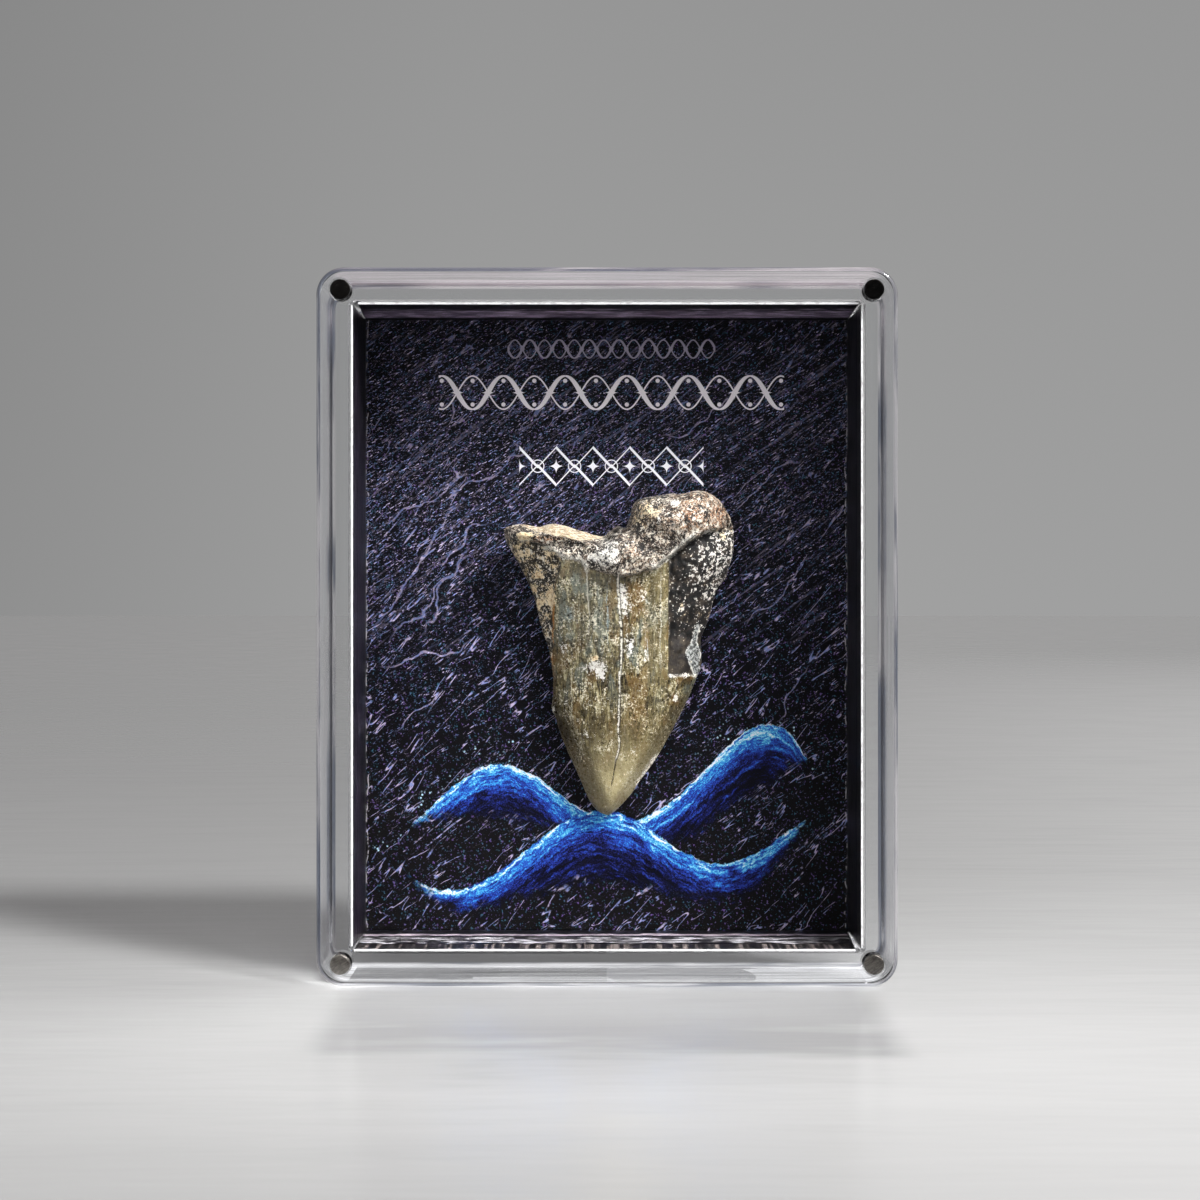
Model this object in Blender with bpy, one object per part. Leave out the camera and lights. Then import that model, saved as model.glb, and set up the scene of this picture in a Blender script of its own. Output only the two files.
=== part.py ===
"""A fossil megalodon tooth on a printed card in a clear two-part display case, closed by corner magnets.

Millimetres are used throughout and turned into metres by MM as each mesh is made.
+X is to the right, -Y is the side that is looked at, +Z is up, and the case stands on Z = 0.
"""

import math

import bmesh
import bpy
import numpy as np
from mathutils import Vector

MM = 0.001

# Case: a cover and a body of clear acrylic, cut to one outline.
CASE_WIDTH = 115.0
CASE_HEIGHT = 142.3
CASE_DEPTH = 32.0
CORNER_RADIUS = 5.5
CORNER_STEPS = 8
EDGE_ROUND = 0.9
SEAM_CHAMFER = 0.25
SEAM_GAP = 0.3
COVER_THICKNESS = 6.5
WALL = 6.0
BACK_WALL = 2.5
POCKET_CORNER_RADIUS = 1.0

FRONT_Y = -CASE_DEPTH / 2
BACK_Y = CASE_DEPTH / 2
COVER_BACK_Y = FRONT_Y + COVER_THICKNESS
BODY_FRONT_Y = COVER_BACK_Y + SEAM_GAP
POCKET_FLOOR_Y = BACK_Y - BACK_WALL
MIDDLE_Z = CASE_HEIGHT / 2

# Magnets: one pair in each corner, facing each other across the seam.
MAGNET_RADIUS = 2.0
MAGNET_LENGTH = 3.0
MAGNET_CHAMFER = 0.2
MAGNET_CLEARANCE = 0.25
MAGNET_INSET_X = 4.4
MAGNET_INSET_Z = 4.0
MAGNET_SIDES = 24

# Card: stiff board, with thin flaps that fold forward from it along the pocket's walls.
CARD_THICKNESS = 1.7
CARD_EDGE_ROUND = 0.4
REST_GAP = 0.3
CARD_BACK_Y = POCKET_FLOOR_Y - REST_GAP
CARD_FRONT_Y = CARD_BACK_Y - CARD_THICKNESS
FLAP_THICKNESS = 0.4
FLAP_SET_BACK = 0.2
FLAP_FOLD_CUT = 1.0
# How much of a flap's front edge is cut away at its left or lower end, and at its right or upper end.
FLAP_FRONT_CUTS = {"top": (1.7, 1.2), "bottom": (0.9, 1.8), "left": (1.3, 0.8), "right": (0.9, 0.6)}

# Tooth: u is to the right of the crown's tip and w is above it.
TIP_X = 0.3
TIP_Z = 31.4
BACK_CONTACT_Y = CARD_FRONT_Y - REST_GAP
TIP_STANDOFF = 2.0
ROOT_STANDOFF = 2.8
ROWS = 50
COLUMNS = 31

# The two flanks, from the tip to the ends of the root, in pairs at about the same height.
LEFT_FLANK = [
    (0.0, 0.0), (-1.9, 0.8), (-3.4, 2.3), (-5.0, 5.5), (-6.9, 10.0), (-9.9, 16.8), (-11.7, 23.0),
    (-11.5, 29.2), (-12.2, 33.5), (-13.7, 38.5), (-15.4, 45.5), (-17.3, 50.0), (-19.4, 54.0),
    (-21.1, 57.0), (-21.7, 59.6),
]
RIGHT_FLANK = [
    (0.0, 0.0), (1.3, 0.8), (2.9, 2.3), (5.4, 5.5), (8.6, 10.0), (12.8, 16.8), (16.0, 23.3),
    (18.7, 29.3), (19.4, 33.5), (19.9, 38.3), (21.9, 45.0), (24.6, 49.8), (25.9, 54.0),
    (26.2, 57.0), (24.8, 60.0),
]
# The root's upper edge: a broken, level left lobe, a notch, and a high rounded right lobe.
ROOT_TOP = [
    (-21.7, 59.6), (-21.1, 60.3), (-18.1, 60.9), (-14.4, 60.3), (-11.9, 60.9), (-8.8, 60.5),
    (-5.9, 59.5), (-1.5, 58.4), (0.2, 59.3), (2.0, 60.3), (3.6, 60.3), (4.6, 62.7), (5.0, 64.5),
    (6.2, 65.9), (8.3, 66.5), (12.4, 67.0), (15.4, 67.2), (18.3, 67.8), (20.6, 67.4), (22.8, 66.1),
    (24.1, 64.5), (24.6, 62.6), (24.8, 60.0),
]
# Where the enamel of the crown ends under the root, and where it ends on the left.
ENAMEL_TOP = [
    (-22.0, 58.0), (-16.0, 57.3), (-12.5, 55.9), (-9.2, 53.9), (-5.8, 53.0), (-3.0, 51.2), (2.0, 50.3),
    (5.0, 50.3), (8.6, 51.2), (10.5, 52.6), (13.5, 54.4), (17.2, 57.3), (20.2, 58.9), (26.0, 59.9),
]
ENAMEL_LEFT = [(-12.2, 24.0), (-11.5, 30.0), (-11.3, 40.0), (-11.1, 46.0), (-10.3, 50.0), (-9.3, 54.0)]
ENAMEL_LEFT_FOOT_W = 26.0
BROKEN_LEFT_U = 12.5
BROKEN_FOOT_W = 29.2

# Heights off the plane of the flanks, row by row: towards the viewer, and towards the card.
FRONT_HEIGHTS = [0.0, 1.0, 1.8, 2.9, 3.9, 5.2, 5.9, 6.3, 6.5, 6.7, 7.0, 7.1, 7.2, 7.2, 7.2]
BACK_HEIGHTS = [0.0, 0.5, 0.8, 1.0, 1.2, 1.4, 1.5, 1.6, 1.7, 2.0, 2.6, 3.1, 3.6, 4.0, 4.4]
# How far below its upper edge the root is full thickness: a steep break, and a rounded lobe.
BREAK_DEPTH = 2.3
LOBE_DEPTH = 7.0
BACK_LOBE_DEPTH = 5.0

# Relief on the front. The root stands over the enamel; the strip and the break lie under it.
ROOT_RISE_LEFT = 0.7
ROOT_RISE_RIGHT = 2.0
STRIP_DROP = 1.0
BREAK_DROP = 1.3
LUMP_HEIGHT = 0.22
# Mounds and hollows: height, centre u and w, and reach along u and w.
ROOT_MOUNDS = [(1.4, 15.0, 61.5, 9.0, 5.0), (0.8, -15.0, 58.0, 6.0, 3.0), (0.7, 3.0, 54.0, 5.0, 3.0)]
ROOT_HOLLOWS = [(-1.5, -1.0, 58.5, 2.6, 2.6), (-0.9, -9.0, 56.2, 6.0, 1.1)]
BREAK_MOUNDS = [(0.7, 20.0, 50.0, 5.0, 6.0)]
# Upright folds in the upper crown: height, centre u and half width.
CROWN_FOLDS = [(0.35, 10.8, 1.2), (-0.3, 8.4, 1.0), (-0.25, -6.5, 2.0)]
FOLDS_FROM_W = 24.0
FOLDS_FULL_W = 34.0


def finish_bmesh(name, mesh_data, material, smooth_angle=35.0):
    """Turns a bmesh in millimetres into an object in metres with its material."""
    bmesh.ops.scale(mesh_data, vec=Vector((MM, MM, MM)), verts=mesh_data.verts)
    bmesh.ops.recalc_face_normals(mesh_data, faces=mesh_data.faces)
    mesh = bpy.data.meshes.new(name)
    mesh_data.to_mesh(mesh)
    mesh_data.free()
    mesh.shade_smooth()
    mesh.set_sharp_from_angle(angle=math.radians(smooth_angle))
    mesh.materials.append(material)
    obj = bpy.data.objects.new(name, mesh)
    bpy.context.scene.collection.objects.link(obj)
    return obj


def make_material(name, color, roughness, metallic=0.0, transmission=0.0):
    material = bpy.data.materials.new(name)
    material.use_nodes = True
    shader = material.node_tree.nodes["Principled BSDF"]
    shader.inputs["Base Color"].default_value = (*color, 1.0)
    shader.inputs["Roughness"].default_value = roughness
    shader.inputs["Metallic"].default_value = metallic
    shader.inputs["Transmission Weight"].default_value = transmission
    shader.inputs["IOR"].default_value = 1.49
    return material


def rounded_rectangle(width, height, radius, steps):
    """Points of a rounded rectangle in X and Z, centred on the case's middle."""
    corners = ((1, 1, 0), (-1, 1, 90), (-1, -1, 180), (1, -1, 270))
    points = []
    for side_x, side_z, start in corners:
        for step in range(steps + 1):
            angle = math.radians(start + 90.0 * step / steps)
            points.append((
                side_x * (width / 2 - radius) + radius * math.cos(angle),
                MIDDLE_Z + side_z * (height / 2 - radius) + radius * math.sin(angle),
            ))
    return points


def rounded_slab(width, height, radius, y_front, y_back, front_edge, back_edge, edge_steps=3):
    """A rounded rectangle extruded along Y, with a round of its own on the front and back edges."""
    slab = bmesh.new()
    outline = rounded_rectangle(width, height, radius, CORNER_STEPS)
    face = slab.faces.new([slab.verts.new((x, y_front, z)) for x, z in outline])
    extruded = bmesh.ops.extrude_face_region(slab, geom=[face])
    moved = [v for v in extruded["geom"] if isinstance(v, bmesh.types.BMVert)]
    bmesh.ops.translate(slab, vec=Vector((0, y_back - y_front, 0)), verts=moved)
    slab.edges.ensure_lookup_table()
    for y, offset in ((y_front, front_edge), (y_back, back_edge)):
        rim = [e for e in slab.edges if all(abs(v.co.y - y) < 1e-4 for v in e.verts)]
        if offset > 0:
            bmesh.ops.bevel(
                slab, geom=rim, offset=offset, segments=edge_steps, profile=0.5, affect="EDGES"
            )
    return slab


def cylinder_along_y(radius, y_start, y_end, x, z, sides, chamfer=0.0):
    """A round bar along Y with a small chamfer at both ends."""
    bar = bmesh.new()
    bmesh.ops.create_cone(
        bar, cap_ends=True, segments=sides, radius1=radius, radius2=radius, depth=y_end - y_start
    )
    if chamfer > 0:
        rims = [e for e in bar.edges if abs(e.verts[0].co.z - e.verts[1].co.z) < 1e-6]
        bmesh.ops.bevel(bar, geom=rims, offset=chamfer, segments=1, affect="EDGES")
    for vertex in bar.verts:
        along, up = vertex.co.z, vertex.co.y
        vertex.co = Vector((x + vertex.co.x, (y_start + y_end) / 2 + along, z + up))
    return bar


def cut_from(target, cutter):
    """Subtracts a hidden cutter from the target."""
    cutter.hide_render = True
    cutter.display_type = "WIRE"
    cut = target.modifiers.new("cut_" + cutter.name, "BOOLEAN")
    cut.operation = "DIFFERENCE"
    cut.solver = "EXACT"
    cut.object = cutter


def corner_places():
    """Name and centre of each corner's magnets, as seen from the front."""
    reach_x = CASE_WIDTH / 2 - MAGNET_INSET_X
    reach_z = CASE_HEIGHT / 2 - MAGNET_INSET_Z
    for row, up in (("top", 1), ("bottom", -1)):
        for column, right in (("left", -1), ("right", 1)):
            yield f"{row}_{column}", right * reach_x, MIDDLE_Z + up * reach_z


def build_case(acrylic, cutter_material):
    """The cover and the body, with the pocket and the blind holes for the magnets."""
    cover = finish_bmesh("case_cover", rounded_slab(
        CASE_WIDTH, CASE_HEIGHT, CORNER_RADIUS, FRONT_Y, COVER_BACK_Y, EDGE_ROUND, SEAM_CHAMFER
    ), acrylic)
    body = finish_bmesh("case_body", rounded_slab(
        CASE_WIDTH, CASE_HEIGHT, CORNER_RADIUS, BODY_FRONT_Y, BACK_Y, SEAM_CHAMFER, EDGE_ROUND
    ), acrylic)
    pocket = finish_bmesh("pocket_cutter", rounded_slab(
        CASE_WIDTH - 2 * WALL, CASE_HEIGHT - 2 * WALL, POCKET_CORNER_RADIUS,
        BODY_FRONT_Y - WALL, POCKET_FLOOR_Y, 0, 0
    ), cutter_material)
    cut_from(body, pocket)

    hole_radius = MAGNET_RADIUS + MAGNET_CLEARANCE
    hole_depth = MAGNET_LENGTH + MAGNET_CLEARANCE
    through_seam = SEAM_GAP / 2
    for corner, x, z in corner_places():
        for owner, name, y_open, inwards in (
            (cover, "cover", COVER_BACK_Y, -1), (body, "body", BODY_FRONT_Y, 1)
        ):
            ends = sorted((y_open - inwards * through_seam, y_open + inwards * hole_depth))
            hole = cylinder_along_y(hole_radius, *ends, x, z, MAGNET_SIDES)
            cut_from(owner, finish_bmesh(f"{name}_hole_{corner}", hole, cutter_material))


def build_magnets(steel):
    """Eight short bar magnets, their inner faces flush with the seam."""
    for corner, x, z in corner_places():
        for name, y_face, inwards in (("cover", COVER_BACK_Y, -1), ("body", BODY_FRONT_Y, 1)):
            ends = sorted((y_face, y_face + inwards * MAGNET_LENGTH))
            bar = cylinder_along_y(MAGNET_RADIUS, *ends, x, z, MAGNET_SIDES, MAGNET_CHAMFER)
            finish_bmesh(f"{name}_magnet_{corner}", bar, steel)


def build_card(print_material):
    """The card that backs the tooth, with softly rounded front edges."""
    slab = rounded_slab(
        CASE_WIDTH - 2 * (WALL + REST_GAP), CASE_HEIGHT - 2 * (WALL + REST_GAP),
        POCKET_CORNER_RADIUS - REST_GAP, CARD_FRONT_Y, CARD_BACK_Y, CARD_EDGE_ROUND, 0
    )
    finish_bmesh("printed_card", slab, print_material)


def build_flaps(print_material):
    """The card's four flaps, each a thin plate with slanted ends from the fold to the pocket's mouth."""
    half_width, half_height = CASE_WIDTH / 2 - WALL, CASE_HEIGHT / 2 - WALL
    fold_y, front_y = CARD_FRONT_Y - REST_GAP, BODY_FRONT_Y + FLAP_SET_BACK
    for side, (cut_low, cut_high) in FLAP_FRONT_CUTS.items():
        level = side in ("top", "bottom")
        reach, wall = (half_width, half_height) if level else (half_height, half_width)
        outwards = 1 if side in ("top", "right") else -1
        outline = (
            (-reach + FLAP_FOLD_CUT, fold_y), (reach - FLAP_FOLD_CUT, fold_y),
            (reach - cut_high, front_y), (-reach + cut_low, front_y),
        )
        flap = bmesh.new()
        sheets = []
        for depth in (REST_GAP, REST_GAP + FLAP_THICKNESS):
            off = outwards * (wall - depth)
            places = [(a, y, MIDDLE_Z + off) if level else (off, y, MIDDLE_Z + a) for a, y in outline]
            sheets.append([flap.verts.new(place) for place in places])
        for sheet in sheets:
            flap.faces.new(sheet)
        outer, inner = sheets
        for k in range(4):
            after = (k + 1) % 4
            flap.faces.new((outer[k], outer[after], inner[after], inner[k]))
        finish_bmesh(f"card_flap_{side}", flap, print_material)


def smooth_curve(points, places):
    """A Catmull-Rom curve through the points, read at places from 0 to len(points) - 1."""
    knots = np.array(points, float)
    if knots.ndim == 1:
        knots = knots[:, None]
    ends = np.vstack([2 * knots[0] - knots[1], knots, 2 * knots[-1] - knots[-2]])
    start = np.clip(np.floor(places).astype(int), 0, len(knots) - 2)
    f = (places - start)[:, None]
    a, b, c, d = (ends[start + k] for k in range(4))
    return 0.5 * (2 * b + (c - a) * f + (2 * a - 5 * b + 4 * c - d) * f**2 + (3 * b - a - 3 * c + d) * f**3)


def height_along(points, u):
    """The second coordinate of a smooth curve at each u, for a curve that runs along u."""
    dense = smooth_curve(points, np.linspace(0, len(points) - 1, 20 * len(points)))
    order = np.argsort(dense[:, 0])
    return np.interp(u, dense[order, 0], dense[order, 1])


def distance_to_curve(points, u, w):
    """How far each place is from the nearest point of a smooth curve."""
    dense = smooth_curve(points, np.linspace(0, len(points) - 1, 20 * len(points)))
    return np.hypot(u[..., None] - dense[:, 0], w[..., None] - dense[:, 1]).min(axis=-1)


def step_up(low, high, value):
    """0 below low, 1 above high, and a smooth rise between them."""
    f = np.clip((value - low) / (high - low), 0, 1)
    return f * f * (3 - 2 * f)


def rounded_end(depth):
    """The height of a quarter circle at a depth from its end, full from depth 1 on."""
    return np.sqrt(1 - (1 - np.clip(depth, 0, 1)) ** 2)


def mounds(u, w, table):
    """The sum of round hills, each given as height, centre u and w, and reach along u and w."""
    return sum(
        height * np.exp(-((u - at_u) / wide) ** 2 - ((w - at_w) / tall) ** 2)
        for height, at_u, at_w, wide, tall in table
    )


def tooth_relief(u, w):
    """Height added to the front of the tooth: the root's lobes, the enamel's edges and the break."""
    root = step_up(-0.7, 0.8, w - height_along(ENAMEL_TOP, u))
    bare = 1 - root
    enamel_left = np.interp(w, [p[1] for p in ENAMEL_LEFT], [p[0] for p in ENAMEL_LEFT])
    strip = bare * step_up(0.0, 1.2, enamel_left - u) * step_up(0.0, 6.0, w - ENAMEL_LEFT_FOOT_W)
    broken = bare * step_up(0.0, 0.6, u - BROKEN_LEFT_U) * step_up(0.0, 0.5, w - BROKEN_FOOT_W)
    crown = bare * (1 - broken) * (1 - strip)

    relief = root * (ROOT_RISE_LEFT + (ROOT_RISE_RIGHT - ROOT_RISE_LEFT) * step_up(-4.0, 1.0, u))
    relief += root * mounds(u, w, ROOT_MOUNDS) + mounds(u, w, ROOT_HOLLOWS)
    relief += broken * mounds(u, w, BREAK_MOUNDS) - STRIP_DROP * strip - BREAK_DROP * broken
    folds = sum(height * np.exp(-((u - at_u) / half) ** 2) for height, at_u, half in CROWN_FOLDS)
    relief += crown * step_up(FOLDS_FROM_W, FOLDS_FULL_W, w) * folds
    lumps = np.sin(0.9 * u + 1.7) * np.sin(1.1 * w) + 0.6 * np.sin(1.9 * u - 1.3 * w)
    return relief + LUMP_HEIGHT * lumps * (root + 0.6 * broken + 0.5 * strip)


def tooth_surface():
    """Two grids of points, front and back, that meet at the flanks and along the root's top."""
    t = 1 - (1 - np.linspace(0, 1, ROWS)) ** 1.4
    even = np.linspace(-1, 1, COLUMNS)
    x = 0.5 * even + 0.5 * np.sin(even * math.pi / 2)

    # The plan: rows run from flank to flank, and bend up towards the root's upper edge.
    place = t * (len(LEFT_FLANK) - 1)
    left, right = smooth_curve(LEFT_FLANK, place), smooth_curve(RIGHT_FLANK, place)
    share = ((x + 1) / 2)[None, :, None]
    plan = left[:, None, :] * (1 - share) + right[:, None, :] * share
    u = plan[..., 0]
    chord = plan[-1]
    rise = height_along(ROOT_TOP, chord[:, 0]) - chord[:, 1]
    w = plan[..., 1] + step_up(0.62, 1.0, t)[:, None] * rise[None, :]

    # How each side closes at the top: a slanting break on the left lobe, rounded elsewhere.
    below_top = distance_to_curve(ROOT_TOP, u, w)
    below_top[-1] = 0
    lobe = step_up(-3.0, 5.0, u)
    slant = np.clip(below_top / BREAK_DEPTH, 0, 1)
    front_cap = (1 - lobe) * slant + lobe * rounded_end(below_top / LOBE_DEPTH)
    back_cap = rounded_end(below_top / BACK_LOBE_DEPTH)

    # The crown is a lens with sharp flanks; the root is blunt all round.
    blunt = step_up(0.62, 0.85, t)[:, None]
    across = np.abs(x)[None, :]
    front_profile = (1 - across ** (2.0 + 1.6 * blunt)) ** (0.8 - 0.28 * blunt)
    back_profile = (1 - across ** (3.0 + 1.0 * blunt)) ** (0.8 - 0.28 * blunt)
    front = smooth_curve(FRONT_HEIGHTS, place) * front_profile * front_cap
    back = smooth_curve(BACK_HEIGHTS, place) * back_profile * back_cap
    rim = np.clip(1 - across**6, 0, 1) * np.sqrt(front_cap)
    front = np.maximum(front + tooth_relief(u, w) * rim, 0.25 * front)

    plane_y = BACK_CONTACT_Y - (TIP_STANDOFF + ROOT_STANDOFF * t**1.5)[:, None]
    front_points = np.stack([TIP_X + u, plane_y - front, TIP_Z + w], axis=-1)
    back_points = np.stack([TIP_X + u, plane_y + back, TIP_Z + w], axis=-1)
    return front_points, back_points


def build_tooth(fossil):
    """The crown and its root, grown as one piece."""
    tooth = bmesh.new()
    front, back = tooth_surface()
    for grid in (front, back):
        rows = [[tooth.verts.new(point) for point in row] for row in grid]
        for low, high in zip(rows, rows[1:]):
            for k in range(COLUMNS - 1):
                tooth.faces.new((low[k], low[k + 1], high[k + 1], high[k]))
    bmesh.ops.remove_doubles(tooth, verts=tooth.verts, dist=0.001)
    finish_bmesh("tooth", tooth, fossil, smooth_angle=50.0)


def main():
    for old in list(bpy.data.objects):
        bpy.data.objects.remove(old)

    acrylic = make_material("clear_acrylic", (0.95, 0.96, 0.97), 0.03, transmission=1.0)
    steel = make_material("nickel_plate", (0.42, 0.40, 0.38), 0.25, metallic=1.0)
    print_material = make_material("printed_card", (0.03, 0.028, 0.05), 0.45)
    fossil = make_material("fossil_tooth", (0.22, 0.18, 0.11), 0.4)
    cutter_material = make_material("cutter", (0.8, 0.2, 0.2), 0.5)

    build_case(acrylic, cutter_material)
    build_magnets(steel)
    build_card(print_material)
    build_flaps(print_material)
    build_tooth(fossil)


main()
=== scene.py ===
import math

import bpy
import numpy as np
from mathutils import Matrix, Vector
from mathutils.geometry import delaunay_2d_cdt


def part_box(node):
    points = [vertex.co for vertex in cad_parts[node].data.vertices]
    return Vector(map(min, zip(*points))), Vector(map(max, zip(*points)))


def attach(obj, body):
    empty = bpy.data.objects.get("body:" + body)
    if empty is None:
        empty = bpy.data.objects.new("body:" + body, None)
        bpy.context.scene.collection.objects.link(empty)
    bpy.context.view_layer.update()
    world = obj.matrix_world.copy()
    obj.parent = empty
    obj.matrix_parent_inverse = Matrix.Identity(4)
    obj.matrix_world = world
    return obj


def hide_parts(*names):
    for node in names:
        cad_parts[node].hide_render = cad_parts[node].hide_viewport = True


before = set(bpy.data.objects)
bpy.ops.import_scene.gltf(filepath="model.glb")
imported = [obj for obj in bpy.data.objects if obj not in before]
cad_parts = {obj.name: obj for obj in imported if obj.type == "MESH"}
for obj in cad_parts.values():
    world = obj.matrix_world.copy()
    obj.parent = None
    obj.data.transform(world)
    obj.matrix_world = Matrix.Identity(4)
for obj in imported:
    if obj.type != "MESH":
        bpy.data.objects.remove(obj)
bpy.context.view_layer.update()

mm = 0.001


# small tools: curves, noise and meshes as whole arrays

def srgb(red, green, blue):
    # a colour given as 0 to 255, made linear
    part = np.array([red, green, blue]) / 255
    linear = np.where(part <= 0.04045, part / 12.92, ((part + 0.055) / 1.055) ** 2.4)
    return (*(float(c) for c in linear), 1.0)


def nodeBox(name):
    # lowest and highest corner of a CAD node, in millimetres
    low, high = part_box(name)
    return np.array(low) / mm, np.array(high) / mm


def smoothCurve(points, places):
    # Catmull-Rom: the cubic through four neighbours, read at places from 0 to the last point's number
    knots = np.array(points, float).reshape(len(points), -1)
    ends = np.vstack([2 * knots[0] - knots[1], knots, 2 * knots[-1] - knots[-2]])
    start = np.clip(np.floor(places).astype(int), 0, len(knots) - 2)
    f = (places - start)[:, None]
    a, b, c, d = (ends[start + k] for k in range(4))
    return 0.5 * (2 * b + (c - a) * f + (2 * a - 5 * b + 4 * c - d) * f**2 + (3 * b - a - 3 * c + d) * f**3)


def denseCurve(points, perStep=24):
    # the smooth curve as many close points
    return smoothCurve(points, np.linspace(0, len(points) - 1, perStep * len(points)))


def heightAlong(points, u):
    # second coordinate of a smooth curve at each place on the first: w at each u, or u at each w
    dense = denseCurve(points)
    order = np.argsort(dense[:, 0])
    return np.interp(u, dense[order, 0], dense[order, 1])


def distanceTo(points, u, w):
    # least distance from each place to a smooth curve, one row of places at a time
    dense = denseCurve(points)
    return np.stack([
        np.hypot(uRow[:, None] - dense[:, 0], wRow[:, None] - dense[:, 1]).min(axis=1)
        for uRow, wRow in zip(u, w)
    ])


def stepUp(low, high, value):
    # 0 below low, 1 above high, and 3f^2 - 2f^3 between
    f = np.clip((value - low) / (high - low), 0, 1)
    return f * f * (3 - 2 * f)


def roundedEnd(depth):
    # height of a quarter circle at a depth from its end
    return np.sqrt(1 - (1 - np.clip(depth, 0, 1)) ** 2)


def mounds(u, w, table):
    # sum of round hills: height, centre u and w, reach along u and w
    return sum(
        height * np.exp(-((u - atU) / wide) ** 2 - ((w - atW) / tall) ** 2)
        for height, atU, atW, wide, tall in table
    )


latticeSize = 32
latticeShift = 500.5  # keeps the lattice places above 0


def valueNoise(points, size, seed):
    # random numbers on a cubic lattice of the given pitch, joined by smooth steps, from -1 to 1
    table = np.random.default_rng(seed).random((latticeSize,) * 3)
    place = points / size + latticeShift
    cell = np.floor(place).astype(int)
    f = place - cell
    f = f * f * (3 - 2 * f)
    total = 0
    for corner in np.ndindex(2, 2, 2):
        share = np.prod(np.where(corner, f, 1 - f), axis=-1)
        at = (cell + corner) % latticeSize
        total = total + share * table[at[..., 0], at[..., 1], at[..., 2]]
    return total * 2 - 1


def roughNoise(points, size, seed, octaves=3):
    # value noise at halving sizes and heights
    return sum(valueNoise(points, size / 2**k, seed + k) / 2**k for k in range(octaves))


def turnedOut(points, faceSets):
    # the same faces, reversed if the volume that they enclose comes out below 0
    volume = 0
    for corners, _, _ in faceSets:
        for k in range(1, corners.shape[1] - 1):
            first, second, third = (points[corners[:, n]] for n in (0, k, k + 1))
            volume += (first * np.cross(second, third)).sum()
    if volume > 0:
        return faceSets
    return [(corners[:, ::-1], number, smooth) for corners, number, smooth in faceSets]


def newPiece(name, points, faceSets, finishes, node):
    # points in mm; faceSets holds (corner numbers, finish number, smooth) with one row for each face
    faceSets = turnedOut(points, faceSets)
    mesh = bpy.data.meshes.new(name)
    mesh.vertices.add(len(points))
    mesh.vertices.foreach_set("co", (np.asarray(points, float) * mm).ravel())
    corners = np.concatenate([np.asarray(f).ravel() for f, _, _ in faceSets])
    counts = [len(faces) for faces, _, _ in faceSets]
    sizes = np.repeat([np.shape(faces)[1] for faces, _, _ in faceSets], counts)
    mesh.loops.add(len(corners))
    mesh.loops.foreach_set("vertex_index", corners)
    mesh.polygons.add(len(sizes))
    mesh.polygons.foreach_set("loop_start", np.cumsum(sizes) - sizes)
    mesh.polygons.foreach_set("material_index", np.repeat([number for _, number, _ in faceSets], counts))
    mesh.polygons.foreach_set("use_smooth", np.repeat([smooth for _, _, smooth in faceSets], counts))
    mesh.update(calc_edges=True)
    mesh.validate()
    for finish in finishes:
        mesh.materials.append(finish.material)
    piece = bpy.data.objects.new(name, mesh)
    bpy.context.scene.collection.objects.link(piece)
    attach(piece, "root")
    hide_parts(node)
    return piece


def quadsBetween(rows, columns, closed, first=0):
    # faces of a grid of points numbered row by row; closed joins the last column to the first
    low = np.arange(rows - 1)[:, None] * columns + np.arange(columns if closed else columns - 1)[None, :]
    right = low - low % columns + (low % columns + 1) % columns
    return first + np.stack([low, right, right + columns, low + columns], axis=-1).reshape(-1, 4)


# nodes: sums on a socket are written as Python sums

class Value:
    # wraps an output socket; arithmetic on it adds Math nodes
    def __init__(self, nodes, socket):
        self.nodes = nodes
        self.socket = socket

    def math(self, operation, *others):
        return self.nodes.node("Math", {"operation": operation}, [self, *others])

    def __add__(self, other):
        return self.math("ADD", other)

    def __mul__(self, other):
        return self.math("MULTIPLY", other)

    def __sub__(self, other):
        return self.math("SUBTRACT", other)

    def __rsub__(self, other):
        return self.nodes.node("Math", {"operation": "SUBTRACT"}, [other, self])

    def __truediv__(self, other):
        return self.math("DIVIDE", other)

    def __abs__(self):
        return self.math("ABSOLUTE")

    __radd__ = __add__
    __rmul__ = __mul__

    def sine(self):
        return self.math("SINE")

    def least(self, other):
        return self.math("MINIMUM", other)

    def most(self, other):
        return self.math("MAXIMUM", other)

    def spread(self, factor):
        # the same value, further from its middle of 0.5
        return (self - 0.5) * factor + 0.5

    def rise(self, low, high):
        # smooth step from 0 at low to 1 at high; falls where low is above high
        smooth = {"interpolation_type": "SMOOTHSTEP"}
        if low < high:
            return self.nodes.node("MapRange", smooth, [self, low, high, 0.0, 1.0])
        return self.nodes.node("MapRange", smooth, [self, high, low, 1.0, 0.0])


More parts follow.
